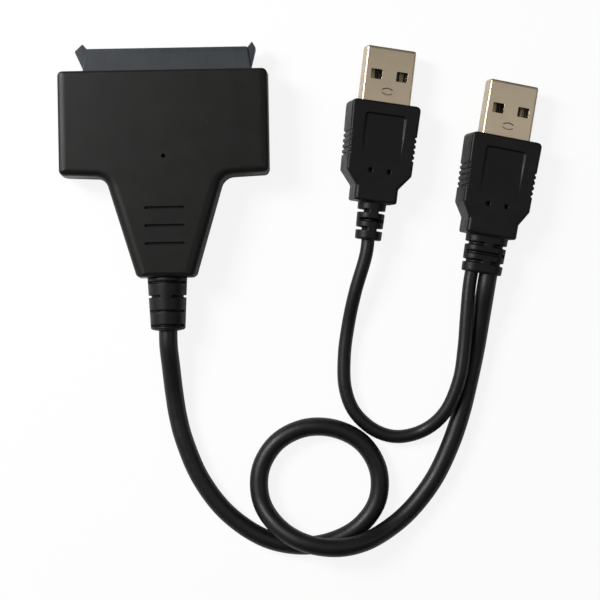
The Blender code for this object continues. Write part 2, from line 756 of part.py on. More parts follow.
def connector_outline():
    """Body between the ears, seen from above, counter-clockwise."""
    half = CONNECTOR_WIDTH / 2
    return [
        (-half, CONNECTOR_REAR_Y),
        (half, CONNECTOR_REAR_Y),
        (half, FRONT_Y + EAR_FROM_FRONT),
        (half - EAR_TIP_WIDTH, FACE_Y),
        (-half + EAR_TIP_WIDTH, FACE_Y),
        (-half, FRONT_Y + EAR_FROM_FRONT),
    ]


def ear_outline(side):
    half = CONNECTOR_WIDTH / 2
    widest_y = FACE_Y - EAR_TIP
    points = [
        (half - 2 * EAR_TIP_WIDTH, FRONT_Y + EAR_FROM_FRONT),
        (half, FRONT_Y + EAR_FROM_FRONT),
        (half + EAR_FLARE, widest_y),
        (half + EAR_TIP_WIDTH / 4, FACE_Y + EAR_TIP),
        (half - EAR_TIP_WIDTH, FACE_Y - EAR_TIP_WIDTH / 4),
    ]
    if side < 0:
        return [(-x, y) for x, y in reversed(points)]
    return points


def build_connector(shop):
    data, power = contact_places()
    low = CENTRE_Z - CONNECTOR_THICKNESS / 2
    high = CENTRE_Z + CONNECTOR_THICKNESS / 2
    body = slab_mesh("sata_connector_body", connector_outline(), low, high)
    connector = shop.add_part("sata_connector_body", body, "connector")
    flange = box_mesh(
        "connector_flange", (FLANGE_WIDTH, FLANGE_DEPTH, FLANGE_THICKNESS),
        (0.0, FRONT_Y - WALL - CLEARANCE - FLANGE_DEPTH / 2, CENTRE_Z))
    shop.join(connector, "connector_flange", flange)
    for name, side in (("left", -1), ("right", 1)):
        ear = slab_mesh(
            "connector_ear_" + name, ear_outline(side),
            CENTRE_Z - EAR_THICKNESS / 2, CENTRE_Z + EAR_THICKNESS / 2)
        shop.join(connector, "connector_ear_" + name, ear)
    slot_back = FACE_Y - SLOT_DEPTH
    slots = bmesh.new()
    for places, key_side in ((data, 1), (power, -1)):
        key_centre = (places[-1] if key_side > 0 else places[0])
        key_centre += key_side * (KEY_FROM_CONTACT + KEY_WIDTH / 2)
        key_edge = key_centre + key_side * KEY_WIDTH / 2
        far_edge = (places[0] if key_side > 0 else places[-1]) - key_side * SLOT_END_MARGIN
        add_box(
            slots,
            (abs(key_edge - far_edge), SLOT_DEPTH + REACH, SLOT_HEIGHT),
            ((key_edge + far_edge) / 2, slot_back + (SLOT_DEPTH + REACH) / 2, SLOT_FLOOR_Z + SLOT_HEIGHT / 2))
    shop.cut(connector, "connector_slots", finish_mesh("connector_slots", slots))
    keys = bmesh.new()
    for places, key_side in ((data, 1), (power, -1)):
        key_centre = (places[-1] if key_side > 0 else places[0])
        key_centre += key_side * (KEY_FROM_CONTACT + KEY_WIDTH / 2)
        add_box(
            keys, (KEY_WIDTH, SLOT_DEPTH + REACH, KEY_DROP + SLOT_HEIGHT / 2),
            (key_centre, slot_back + (SLOT_DEPTH + REACH) / 2,
             SLOT_FLOOR_Z - KEY_DROP + (KEY_DROP + SLOT_HEIGHT / 2) / 2))
    shop.cut(connector, "connector_keys", finish_mesh("connector_keys", keys))
    channel_width = CONTACT_WIDTH + 2 * CONTACT_CLEARANCE
    channel_low = CONTACT_Z - CONTACT_SHEET / 2 - CONTACT_CLEARANCE
    tunnel_high = CONTACT_Z + CONTACT_SHEET / 2 + CONTACT_CLEARANCE
    tunnel_start = CONNECTOR_REAR_Y - REACH
    tunnel_end = FACE_Y - CONTACT_SETBACK + CONTACT_CLEARANCE
    trough_high = SLOT_FLOOR_Z + SLOT_HEIGHT / 2
    tunnels = bmesh.new()
    troughs = bmesh.new()
    for x in data + power:
        add_box(
            tunnels, (channel_width, tunnel_end - tunnel_start, tunnel_high - channel_low),
            (x, (tunnel_start + tunnel_end) / 2, (channel_low + tunnel_high) / 2))
        add_box(
            troughs, (channel_width, tunnel_end - slot_back, trough_high - channel_low),
            (x, (slot_back + tunnel_end) / 2, (channel_low + trough_high) / 2))
    shop.cut(connector, "contact_tunnels", finish_mesh("contact_tunnels", tunnels))
    shop.cut(connector, "contact_troughs", finish_mesh("contact_troughs", troughs))


def contact_path():
    """Side view of one SATA contact, from its tail on the board to its tip."""
    foot_z = BOARD_SURFACE_Z + CONTACT_SHEET / 2
    tip_y = FACE_Y - CONTACT_SETBACK
    slot_back = FACE_Y - SLOT_DEPTH
    spring = tip_y - slot_back
    return (
        (CONNECTOR_REAR_Y - TAIL_LENGTH, foot_z),
        (CONNECTOR_REAR_Y - 1.2 * TAIL_BEND, foot_z),
        (CONNECTOR_REAR_Y - 0.2 * TAIL_BEND, CONTACT_Z),
        (slot_back + 0.15 * spring, CONTACT_Z),
        (slot_back + 0.62 * spring, CONTACT_Z + 0.8 * CONTACT_RISE),
        (slot_back + 0.76 * spring, CONTACT_Z + CONTACT_RISE),
        (slot_back + 0.88 * spring, CONTACT_Z + 0.75 * CONTACT_RISE),
        (tip_y, CONTACT_Z + 0.15 * CONTACT_RISE),
    )


def build_sata_contacts(shop):
    data, power = contact_places()
    shared = sheet_strip("sata_contact", contact_path(), CONTACT_WIDTH, CONTACT_SHEET, 0.0)
    for prefix, places in (("data_contact_", data), ("power_contact_", power)):
        for k, x in enumerate(places):
            contact = shop.add_part(prefix + str(k + 1), shared, "gold")
            contact.location.x = x
            solidify(contact, CONTACT_SHEET, 1.0)


def board_outline():
    half = BOARD_WIDTH / 2
    tongue = BOARD_TONGUE_WIDTH / 2
    back = BOARD_FRONT_Y - BOARD_DEPTH
    end = back - BOARD_TONGUE_LENGTH
    corners = [
        (-half, BOARD_FRONT_Y), (-half, back), (-tongue, back), (-tongue, end),
        (tongue, end), (tongue, back), (half, back), (half, BOARD_FRONT_Y),
    ]
    radii = {i: BOARD_CORNER for i in range(len(corners))}
    return round_corners(corners, radii, 3)


def build_board(shop):
    holes = [
        circle_outline(x, POST_Y, PIN_RADIUS + CLEARANCE, 12)
        for x in (-POST_SPACING / 2, POST_SPACING / 2)]
    mesh = slab_mesh(
        "circuit_board", board_outline(), BOARD_TOP_Z - BOARD_THICKNESS, BOARD_TOP_Z, holes)
    shop.add_part("circuit_board", mesh, "board")


def on_board(size, x, from_front):
    return (x, FRONT_Y - from_front, BOARD_SURFACE_Z + size[2] / 2)


def build_components(shop):
    chip_size = (CHIP_SIZE, CHIP_SIZE, CHIP_HEIGHT)
    chip_place = on_board(chip_size, CHIP_ACROSS, CHIP_FROM_FRONT)
    chip = shop.add_part(
        "bridge_chip", box_mesh("bridge_chip", chip_size, chip_place, COMPONENT_EDGE), "chip")
    dimple_place = (
        chip_place[0] - CHIP_SIZE / 3, chip_place[1] + CHIP_SIZE / 3, chip_place[2] + CHIP_HEIGHT / 2)
    dimple = cylinder_mesh(
        "chip_dimple", CHIP_DIMPLE_RADIUS, 2 * CHIP_DIMPLE_DEPTH, dimple_place, "Z", 12)
    shop.cut(chip, "chip_dimple", dimple)
    second = CAPACITOR_FROM_FRONT + CAPACITOR_PITCH
    pieces = (
        ("crystal", CRYSTAL_SIZE, CRYSTAL_FROM_POST - POST_SPACING / 2, CHIP_FROM_FRONT, "steel"),
        ("capacitor_1", CAPACITOR_SIZE, CAPACITOR_ACROSS, CAPACITOR_FROM_FRONT, "ceramic"),
        ("capacitor_2", CAPACITOR_SIZE, CAPACITOR_ACROSS, second, "ceramic"),
        ("status_light", LIGHT_SIZE, 0.0, LIGHT_FROM_FRONT, "light"),
    )
    for name, size, x, from_front, material in pieces:
        mesh = box_mesh(name, size, on_board(size, x, from_front), COMPONENT_EDGE)
        shop.add_part(name, mesh, material)
    size = REGULATOR_SIZE
    place = on_board(size, REGULATOR_ACROSS, CHIP_FROM_FRONT)
    block = box_mesh("voltage_regulator", size, place, COMPONENT_EDGE)
    regulator = shop.add_part("voltage_regulator", block, "chip")
    legs = bmesh.new()
    leg_z = BOARD_SURFACE_Z + REGULATOR_LEG / 4
    leg_length = size[1] / 2 + REGULATOR_LEG_REACH
    leg_size = (REGULATOR_LEG, leg_length, REGULATOR_LEG / 2)
    for k in (-1, 0, 1):
        leg_x = place[0] + k * REGULATOR_LEG_PITCH
        add_box(legs, leg_size, (leg_x, place[1] - leg_length / 2, leg_z))
    tab_size = (size[0] / 2, leg_length, REGULATOR_LEG / 2)
    add_box(legs, tab_size, (place[0], place[1] + (leg_length + COMPONENT_EDGE) / 2, leg_z))
    shop.join(regulator, "regulator_legs", finish_mesh("regulator_legs", legs))


def tube_object(shop, name, points, radius, material, resolution=2):
    curve = bpy.data.curves.new(name, "CURVE")
    curve.dimensions = "3D"
    curve.fill_mode = "FULL"
    curve.bevel_depth = radius
    curve.bevel_resolution = resolution
    curve.use_fill_caps = True
    spline = curve.splines.new("POLY")
    spline.points.add(len(points) - 1)
    for target, place in zip(spline.points, points):
        target.co = (*place, 1.0)
    return shop.add_part(name, curve, material)


def smooth_route(points, spacing):
    """Reads evenly spaced points from a smooth curve through the given ones."""
    knots = [Vector(p) for p in points]
    knots = [2 * knots[0] - knots[1]] + knots + [2 * knots[-1] - knots[-2]]
    dense = []
    for i in range(1, len(knots) - 2):
        p0, p1, p2, p3 = knots[i - 1:i + 3]
        t1 = (p1 - p0).length ** 0.5
        t2 = t1 + (p2 - p1).length ** 0.5
        t3 = t2 + (p3 - p2).length ** 0.5
        for k in range(20):
            t = t1 + (t2 - t1) * k / 20
            a1 = p0.lerp(p1, t / t1)
            a2 = p1.lerp(p2, (t - t1) / (t2 - t1))
            a3 = p2.lerp(p3, (t - t2) / (t3 - t2))
            b1 = a1.lerp(a2, t / t2)
            b2 = a2.lerp(a3, (t - t1) / (t3 - t1))
            dense.append(b1.lerp(b2, (t - t1) / (t2 - t1)))
    dense.append(knots[-2])
    lengths = [0.0]
    for first, second in zip(dense, dense[1:]):
        lengths.append(lengths[-1] + (second - first).length)
    count = max(2, round(lengths[-1] / spacing))
    route = []
    at = 0
    for k in range(count + 1):
        goal = lengths[-1] * k / count
        while at < len(lengths) - 2 and lengths[at + 1] < goal:
            at += 1
        share = (goal - lengths[at]) / (lengths[at + 1] - lengths[at])
        route.append(dense[at].lerp(dense[at + 1], share))
    return route


def build_core_wires(shop):
    """Four insulated cores from the strain relief's inner end to the board's tongue."""
    start_y = BACK_Y + WALL + RELIEF_FLANGE_DEPTH + 2 * CLEARANCE
    tongue_end = BOARD_FRONT_Y - BOARD_DEPTH - BOARD_TONGUE_LENGTH
    board_z = BOARD_SURFACE_Z + CORE_WIRE_RADIUS
    colours = ("red", "white", "green", "black")
    for k, colour in enumerate(colours):
        gather = CORE_WIRE_RADIUS + CLEARANCE / 2
        x_board = (k - 1.5) * CORE_WIRE_PITCH
        x_start = (-gather, -gather, gather, gather)[k]
        z_start = CENTRE_Z + (gather, -gather, -gather, gather)[k]
        run = tongue_end - start_y
        route = smooth_route((
            (x_start, start_y, z_start),
            (x_start, start_y + 0.35 * run, z_start),
            (x_board, start_y + 0.85 * run, (z_start + board_z) / 2 + CONTACT_CLEARANCE),
            (x_board, tongue_end + 2 * CORE_WIRE_LAND / 3, board_z),
            (x_board, tongue_end + 5 * CORE_WIRE_LAND / 3, board_z),
        ), CORE_WIRE_SPACING)
        tube_object(shop, "core_wire_" + colour, route, CORE_WIRE_RADIUS, "wire_" + colour)


def build_head_relief(shop):
    """Sleeve with alternating slots, turned, with a flange trapped in the housing."""
    gap_y = BACK_Y - CLEARANCE
    collar_end = BACK_Y - RELIEF_LENGTH
    profile_y = (
        (RELIEF_NECK_RADIUS, BACK_Y + WALL + CLEARANCE + RELIEF_FLANGE_DEPTH / 2),
        (RELIEF_NECK_RADIUS, gap_y),
        (RELIEF_START_RADIUS - RELIEF_EDGE, gap_y),
        (RELIEF_START_RADIUS, gap_y - RELIEF_EDGE),
        (RELIEF_END_RADIUS, collar_end + RELIEF_EDGE),
        (RELIEF_END_RADIUS - RELIEF_EDGE, collar_end),
        (RELIEF_CORE_RADIUS, RELIEF_END_Y),
    )
    sleeve = turned_mesh("head_strain_relief", profile_y, 24, "Y", (0.0, 0.0, CENTRE_Z))
    relief = shop.add_part("head_strain_relief", sleeve, "grip")
    flange = box_mesh(
        "relief_flange", (RELIEF_FLANGE_WIDTH, RELIEF_FLANGE_DEPTH, RELIEF_FLANGE_HEIGHT),
        (0.0, BACK_Y + WALL + CLEARANCE + RELIEF_FLANGE_DEPTH / 2, CENTRE_Z))
    shop.join(relief, "relief_flange", flange)
    for k in range(RELIEF_SLOTS):
        y = BACK_Y - RELIEF_FIRST_SLOT - k * RELIEF_SLOT_PITCH
        name = "relief_slot_" + str(k + 1)
        ring_cut(shop, relief, name, y, RELIEF_SLOT_WIDTH, RELIEF_START_RADIUS,
                 rounded_section(2 * RELIEF_CORE_RADIUS, 2 * RELIEF_CORE_RADIUS, RELIEF_CORE_RADIUS),
                 RELIEF_BRIDGE, k % 2 == 1, CENTRE_Z)


def ring_cut(shop, target, name, y, width, outer, core, bridge, bridge_on_top, centre_z):
    """Cuts a slot round a sleeve but leaves its core and two opposite bridges."""
    reach = outer + REACH
    ring = loft_along_y(name, (
        (y - width / 2, rounded_section(2 * reach, 2 * reach, reach / 2)),
        (y + width / 2, rounded_section(2 * reach, 2 * reach, reach / 2)),
    ))
    bm = bmesh.new()
    bm.from_mesh(ring)
    bmesh.ops.translate(bm, verts=list(bm.verts), vec=(0.0, 0.0, centre_z))
    bm.to_mesh(ring)
    bm.free()
    cutter = shop.add_cutter(name, ring, target.parent)
    keep = loft_along_y(name + "_core", (
        (y - width, [(x, z + centre_z) for x, z in core]),
        (y + width, [(x, z + centre_z) for x, z in core]),
    ))
    size = (bridge, 2 * width, 3 * reach) if bridge_on_top else (3 * reach, 2 * width, bridge)
    bridge_mesh = box_mesh(name + "_bridge", size, (0.0, y, centre_z))
    shop.cut(cutter, name + "_core", keep)
    shop.cut(cutter, name + "_bridge", bridge_mesh)
    step = target.modifiers.new(name, "BOOLEAN")
    step.object = cutter
    step.operation = "DIFFERENCE"
    step.solver = "EXACT"


def plug_height(plug):
    """How high the middle of a rolled grip lies when its lower edge is on the table."""
    half_width = plug["grip_width"] / 2 - GRIP_CORNER
    half_height = GRIP_THICKNESS / 2 - GRIP_CORNER
    roll = plug["roll"]
    return half_width * math.sin(roll) + half_height * math.cos(roll) + GRIP_CORNER


def sleeve_length():
    return GRIP_BODY + GRIP_SHOULDER + GRIP_NECK + SLEEVE_LENGTH


def plug_exit(plug, across, beyond=0.0):
    """Where a cable leaves the plug's sleeve, across from its middle, or a way beyond."""
    heading, roll = plug["heading"], plug["roll"]
    ahead = Vector((-math.sin(heading), math.cos(heading), 0.0))
    right = Vector((
        math.cos(heading) * math.cos(roll), math.sin(heading) * math.cos(roll), -math.sin(roll)))
    front = Vector((*plug["front"], plug_height(plug)))
    return front - ahead * (sleeve_length() + CLEARANCE + beyond) + right * across


def plug_empty(name, plug):
    empty = bpy.data.objects.new(name, None)
    empty.location = (*plug["front"], plug_height(plug))
    empty.rotation_euler = (0.0, plug["roll"], plug["heading"])
    bpy.context.scene.collection.objects.link(empty)
    return empty


def build_plug_shell(shop, prefix, empty):
    """Folded sheet with a seam underneath, latch holes and a stamped dimple."""
    name = prefix + "_shell"
    outline = rounded_section(PLUG_WIDTH, PLUG_HEIGHT, PLUG_CORNER, 3)
    lowest = min(z for x, z in outline)
    turn = min(
        range(len(outline)), key=lambda i: (abs(outline[i][1] - lowest), outline[i][0]))
    path = outline[turn + 1:] + outline[:turn + 1]
    if path[0][0] < path[-1][0]:
        path.reverse()
    path = [(PLUG_SEAM / 2, lowest)] + path + [(-PLUG_SEAM / 2, lowest)]
    bm = bmesh.new()
    rows = []
    for x, z in path:
        rows.append((bm.verts.new((x, -PLUG_SEATED, z)), bm.verts.new((x, PLUG_EXPOSED, z))))
    for (a, b), (c, d) in zip(rows, rows[1:]):
        bm.faces.new((a, b, d, c))
    bmesh.ops.recalc_face_normals(bm, faces=list(bm.faces))
    bm.faces.ensure_lookup_table()
    top = max(bm.faces, key=lambda face: face.calc_center_median().z)
    if top.normal.z < 0:
        bmesh.ops.reverse_faces(bm, faces=list(bm.faces))
    shell = shop.add_part(name, finish_mesh(name, bm), "steel", empty)
    solidify(shell, PLUG_SHEET, -1.0)
    holes = bmesh.new()
    hole_y = PLUG_EXPOSED - LATCH_HOLE_FROM_TIP
    for x in (-LATCH_HOLE_OFFSET, LATCH_HOLE_OFFSET):
        add_box(holes, (LATCH_HOLE[0], LATCH_HOLE[1], PLUG_HEIGHT + REACH), (x, hole_y, 0.0))
    shop.cut(shell, name + "_latch_holes", finish_mesh(name + "_latch_holes", holes))
    dimple_outline = round_corners(
        [(-DIMPLE_SIZE[0] / 2, -DIMPLE_SIZE[1] / 2), (DIMPLE_SIZE[0] / 2, -DIMPLE_SIZE[1] / 2),
         (DIMPLE_SIZE[0] / 2, DIMPLE_SIZE[1] / 2), (-DIMPLE_SIZE[0] / 2, DIMPLE_SIZE[1] / 2)],
        {i: DIMPLE_SIZE[1] / 2.2 for i in range(4)}, 4)
    dimple_y = PLUG_EXPOSED - DIMPLE_FROM_TIP
    dimple = slab_mesh(
        name + "_dimple", [(x, y + dimple_y) for x, y in dimple_outline],
        PLUG_HEIGHT / 2 - DIMPLE_DEPTH, PLUG_HEIGHT / 2 + REACH)
    shop.cut(shell, name + "_dimple", dimple)


def build_insulator(shop, prefix, empty):
    """Tongue in the lower half of the shell, with a block that closes its back."""
    name = prefix + "_insulator"
    inner_width = PLUG_WIDTH - 2 * PLUG_SHEET - 2 * CLEARANCE
    inner_height = PLUG_HEIGHT - 2 * PLUG_SHEET - 2 * CLEARANCE
    low = -inner_height / 2
    back = -PLUG_SEATED + CLEARANCE
    tongue_front = PLUG_EXPOSED - TONGUE_SETBACK
    block_front = PLUG_EXPOSED - MATING_DEPTH
    tongue = box_mesh(
        name, (inner_width, tongue_front - back, TONGUE_THICKNESS),
        (0.0, (tongue_front + back) / 2, low + TONGUE_THICKNESS / 2), 0.0)
    insulator = shop.add_part(name, tongue, "insulator", empty)
    block = box_mesh(
        name + "_block", (inner_width, block_front - back, inner_height),
        (0.0, (block_front + back) / 2, 0.0))
    shop.join(insulator, name + "_block", block)
    grooves = bmesh.new()
    groove_width = USB_CONTACT_WIDTH + 2 * CONTACT_CLEARANCE
    groove_low = low + TONGUE_THICKNESS - CONTACT_SHEET - CONTACT_CLEARANCE
    groove_high = low + TONGUE_THICKNESS + CONTACT_CLEARANCE
    for k, x in enumerate(USB_CONTACT_OFFSETS):
        front = usb_contact_front(k) + CONTACT_CLEARANCE
        add_box(
            grooves, (groove_width, front - back + REACH, groove_high - groove_low),
            (x, (front + back - REACH) / 2, (groove_low + groove_high) / 2))
    shop.cut(insulator, name + "_grooves", finish_mesh(name + "_grooves", grooves))


def usb_contact_front(index):
    """The two outer contacts reach further forward than the inner pair."""
    front = PLUG_EXPOSED - TONGUE_SETBACK - USB_CONTACT_SETBACK
    if index in (1, 2):
        front -= USB_INNER_SETBACK
    return front


def build_usb_contacts(shop, prefix, empty):
    low = -(PLUG_HEIGHT - 2 * PLUG_SHEET - 2 * CLEARANCE) / 2
    top_z = low + TONGUE_THICKNESS
    middle = top_z - CONTACT_SHEET / 2
    back = -PLUG_SEATED + 2 * CLEARANCE
    for k, x in enumerate(USB_CONTACT_OFFSETS):
        front = usb_contact_front(k)
        path = (
            (back, middle),
            (front - 3 * USB_CONTACT_NOSE, middle),
            (front - USB_CONTACT_NOSE, middle - 0.2 * CONTACT_SHEET),
            (front, middle - 0.5 * CONTACT_SHEET),
        )
        name = prefix + "_contact_" + str(k + 1)
        strip = sheet_strip(name, path, USB_CONTACT_WIDTH, CONTACT_SHEET, x)
        contact = shop.add_part(name, strip, "gold", empty)
        solidify(contact, CONTACT_SHEET, 1.0)


def grip_stations(plug):
    """Sections of the moulded grip and its sleeve, from the front to the cable."""
    width, thickness, edge = plug["grip_width"], GRIP_THICKNESS, GRIP_FRONT_EDGE
    rear_width = width - GRIP_REAR_TAPER
    neck_width, neck_height = plug["neck_width"], GRIP_NECK_THICKNESS
    sleeve_w, sleeve_h = plug["sleeve_width"], plug["sleeve_height"]
    shoulder_y = -GRIP_BODY
    neck_y = shoulder_y - GRIP_SHOULDER
    neck_end = neck_y - GRIP_NECK
    end = -sleeve_length()
    front = []
    for k in range(FRONT_CORNER_STEPS + 1):
        turn = math.pi / 2 * k / FRONT_CORNER_STEPS
        back = GRIP_FRONT_CORNER * (1 - math.cos(turn))
        side = GRIP_FRONT_CORNER * (1 - math.sin(turn))
        lower = max(0.0, edge - back)
        front.append((-back, rounded_section(width - 2 * side, thickness - 2 * lower, GRIP_CORNER - lower)))
    return (
        *front,
        (shoulder_y, rounded_section(rear_width, thickness, GRIP_CORNER)),
        (neck_y, rounded_section(neck_width, neck_height, GRIP_NECK_CORNER)),
        (neck_end + edge, rounded_section(neck_width, neck_height, GRIP_NECK_CORNER)),
        (neck_end, rounded_section(neck_width - edge, neck_height - edge, GRIP_NECK_CORNER)),
        (neck_end - 0.00001, rounded_section(sleeve_w, sleeve_h, sleeve_h / 2)),
        (end + edge / 2, rounded_section(
            sleeve_w - SLEEVE_TAPER, sleeve_h - SLEEVE_TAPER, sleeve_h / 2)),
        (end, rounded_section(
            sleeve_w - SLEEVE_TAPER - edge, sleeve_h - SLEEVE_TAPER - edge, sleeve_h / 2)),
    )


def build_grip(shop, prefix, plug, empty, core):
    name = prefix + "_grip"
    grip = shop.add_part(name, loft_along_y(name, grip_stations(plug)), "grip", empty)
    pocket_size = (
        PLUG_WIDTH + 2 * CLEARANCE,
        PLUG_SEATED + CLEARANCE + REACH,
        PLUG_HEIGHT + 2 * CLEARANCE,
    )
    pocket_y = (REACH - PLUG_SEATED - CLEARANCE) / 2
    shop.cut(grip, name + "_pocket", box_mesh(name + "_pocket", pocket_size, (0.0, pocket_y, 0.0)))
    panel = bmesh.new()
    surface = GRIP_THICKNESS / 2
    verts = add_box(panel, (PANEL_WIDTH, PANEL_LENGTH, REACH), (
        0.0, -PANEL_FROM_FRONT - PANEL_LENGTH / 2, surface + REACH / 2))
    for vertex in verts:
        if vertex.co.z < surface + REACH / 4 and vertex.co.y > -PANEL_FROM_FRONT - PANEL_LENGTH / 2:
            vertex.co.z -= PANEL_DEPTH
        elif vertex.co.z < surface + REACH / 4:
            vertex.co.z += PANEL_RUNOUT
    shop.cut(grip, name + "_panel", finish_mesh(name + "_panel", panel))
    marks = bmesh.new()
    for x in (-MARK_HOLE_SPACING / 2, MARK_HOLE_SPACING / 2):
        add_cylinder(
            marks, MARK_HOLE_RADIUS, 2 * MARK_HOLE_DEPTH, (x, -MARK_HOLE_FROM_FRONT, surface), "Z", 12)
    shop.cut(grip, name + "_marks", finish_mesh(name + "_marks", marks))
    grooves = bmesh.new()
    for k in range(SIDE_GROOVES):
        y = -SIDE_GROOVES_FROM_FRONT - k * SIDE_GROOVE_PITCH
        taper = GRIP_REAR_TAPER / 2 * (-y / GRIP_BODY)
        for side in (-1, 1):
            x = side * (plug["grip_width"] / 2 - taper - SIDE_GROOVE_DEPTH + REACH / 2)
            add_box(grooves, (REACH, SIDE_GROOVE_WIDTH, GRIP_THICKNESS + REACH), (x, y, 0.0))
    shop.cut(grip, name + "_grooves", finish_mesh(name + "_grooves", grooves))
    sleeve_start = -GRIP_BODY - GRIP_SHOULDER - GRIP_NECK
    for k in range(SLEEVE_SLOTS):
        y = sleeve_start - SLEEVE_FIRST_SLOT - k * SLEEVE_SLOT_PITCH
        ring_cut(shop, grip, name + "_slot_" + str(k + 1), y, SLEEVE_SLOT_WIDTH,
                 plug["sleeve_width"] / 2, core, SLEEVE_BRIDGE, k % 2 == 0, 0.0)


def build_plug(shop, prefix, plug, core):
    empty = plug_empty(prefix, plug)
    build_plug_shell(shop, prefix, empty)
    build_insulator(shop, prefix, empty)
    build_usb_contacts(shop, prefix, empty)
    build_grip(shop, prefix, plug, empty, core)


def cable_pair_offsets():
    """Distances of the power and main cables from the data plug's middle."""
    apart = MAIN_CABLE_RADIUS + POWER_CABLE_RADIUS + CABLE_PAIR_GAP
    outer = apart + MAIN_CABLE_RADIUS + POWER_CABLE_RADIUS
    power = -outer / 2 + POWER_CABLE_RADIUS
    return power, power + apart


def build_cables(shop):
    power_across, main_across = cable_pair_offsets()
    head_exit_y = RELIEF_END_Y - CLEARANCE
    main = smooth_route((
        (0.0, head_exit_y, CENTRE_Z),
        (0.0, head_exit_y - CABLE_LEAD, CENTRE_Z),
        *MAIN_ROUTE,
        plug_exit(DATA_PLUG, main_across, CABLE_LEAD),
        plug_exit(DATA_PLUG, main_across),
    ), CABLE_POINT_SPACING)
    tube_object(shop, "main_cable", main, MAIN_CABLE_RADIUS, "cable")
    power = smooth_route((
        plug_exit(DATA_PLUG, power_across),
        plug_exit(DATA_PLUG, power_across, CABLE_LEAD),
        *POWER_ROUTE,
        plug_exit(POWER_PLUG, 0.0, CABLE_LEAD),
        plug_exit(POWER_PLUG, 0.0),
    ), CABLE_POINT_SPACING)
    tube_object(shop, "power_cable", power, POWER_CABLE_RADIUS, "cable")


def main():
    clear_scene()
    shop = Workshop()
    build_lower_shell(shop)
    build_upper_shell(shop)
    build_connector(shop)
    build_sata_contacts(shop)
    build_board(shop)
    build_components(shop)
    build_core_wires(shop)
    build_head_relief(shop)
    one_radius = POWER_CABLE_RADIUS + SLEEVE_CORE_SKIN
    one_core = rounded_section(2 * one_radius, 2 * one_radius, one_radius)
    pair_radius = MAIN_CABLE_RADIUS + SLEEVE_CORE_SKIN / 2
    pair_width = 2 * (MAIN_CABLE_RADIUS + POWER_CABLE_RADIUS) + CABLE_PAIR_GAP + 2 * SLEEVE_CORE_SKIN
    pair_core = rounded_section(pair_width, 2 * pair_radius, pair_radius)
    build_plug(shop, "power_plug", POWER_PLUG, one_core)
    build_plug(shop, "data_plug", DATA_PLUG, pair_core)
    build_cables(shop)


main()
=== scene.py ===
import json
import math

import bmesh
import bpy
from mathutils import Euler, Matrix, Vector


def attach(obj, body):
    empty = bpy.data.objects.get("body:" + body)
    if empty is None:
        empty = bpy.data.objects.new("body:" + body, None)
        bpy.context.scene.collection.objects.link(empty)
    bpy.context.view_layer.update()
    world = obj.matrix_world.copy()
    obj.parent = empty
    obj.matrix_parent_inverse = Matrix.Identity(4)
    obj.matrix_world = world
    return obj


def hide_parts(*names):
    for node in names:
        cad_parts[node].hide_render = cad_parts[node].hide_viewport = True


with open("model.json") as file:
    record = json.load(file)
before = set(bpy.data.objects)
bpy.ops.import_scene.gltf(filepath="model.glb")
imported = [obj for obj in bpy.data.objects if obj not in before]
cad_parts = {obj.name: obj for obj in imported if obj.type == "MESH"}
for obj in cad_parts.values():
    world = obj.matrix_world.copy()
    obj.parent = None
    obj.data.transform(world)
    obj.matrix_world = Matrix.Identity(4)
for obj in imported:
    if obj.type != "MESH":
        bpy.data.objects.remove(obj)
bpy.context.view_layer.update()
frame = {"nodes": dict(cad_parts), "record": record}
NODES = frame["nodes"]

# Sizes in metres, in the same frame as the solids
CLEARANCE = 0.0003
REACH = 0.002   # how far a cutting shape stands out of what it cuts
MERGE_DISTANCE = 0.0000004

HOUSING_WIDTH = 0.0495
HOUSING_LENGTH = 0.0489
HOUSING_THICKNESS = 0.0110
WING_DEPTH = 0.0253
WING_RISE = 0.0005
NECK_ROOT_WIDTH = 0.0280
NECK_END_WIDTH = 0.0139
ROOT_FILLET = 0.0032
CORNER_RADIUS = 0.0014
LEAST_CORNER = 0.00005
CORNER_STEPS = 12
# For each side of the T, from the left wing's outer side round to the front: how far in and how
# far down its upper edge is rounded
EDGE_REACH = (0.0019, 0.0017, 0.0026, 0.0012, 0.0026, 0.0017, 0.0019, 0.0008)
EDGE_DROP = (0.0007, 0.0013, 0.0020, 0.0010, 0.0020, 0.0013, 0.0007, 0.0005)
DRAFT_ANGLE = math.radians(3.0)
WALL = 0.0018
ROOF = 0.0016
SEAM_EDGE = 0.00015
SEAM_STEPS = 3
RIM_STEPS = 23
GROOVE_COUNT = 3
GROOVE_LENGTH = 0.0094
GROOVE_WIDTH = 0.0006
# From above the surface to the groove's floor: share of its size, depth
GROOVE_PROFILE = ((1.15, -0.0004), (1.15, -0.00002), (1.0, 0.0001), (0.9, 0.0010))
GROOVE_PITCH = 0.0042
GROOVE_FROM_BACK = 0.0080
# The status light's hole, from above the surface to the inside: radius, depth
LIGHT_HOLE_PROFILE = (
    (0.00052, -REACH), (0.00052, -0.00001), (0.00042, 0.00012), (0.00042, ROOF + REACH))
LIGHT_FROM_FRONT = 0.0204

CONNECTOR_WIDTH = 0.0396
CONNECTOR_ACROSS = 0.0009   # the body sits this far right of the housing's middle
CONNECTOR_THICKNESS = 0.0050
CONNECTOR_PROTRUSION = 0.0053
CONNECTOR_INSIDE = 0.0080
CONNECTOR_EDGE = 0.00022
FLANGE_SIDE_GAP = 0.00125
FLANGE_THICKNESS = 0.0066
FLANGE_DEPTH = 0.0016
FLANGE_EDGE = 0.0002
MOUTH_EDGE = 0.0003
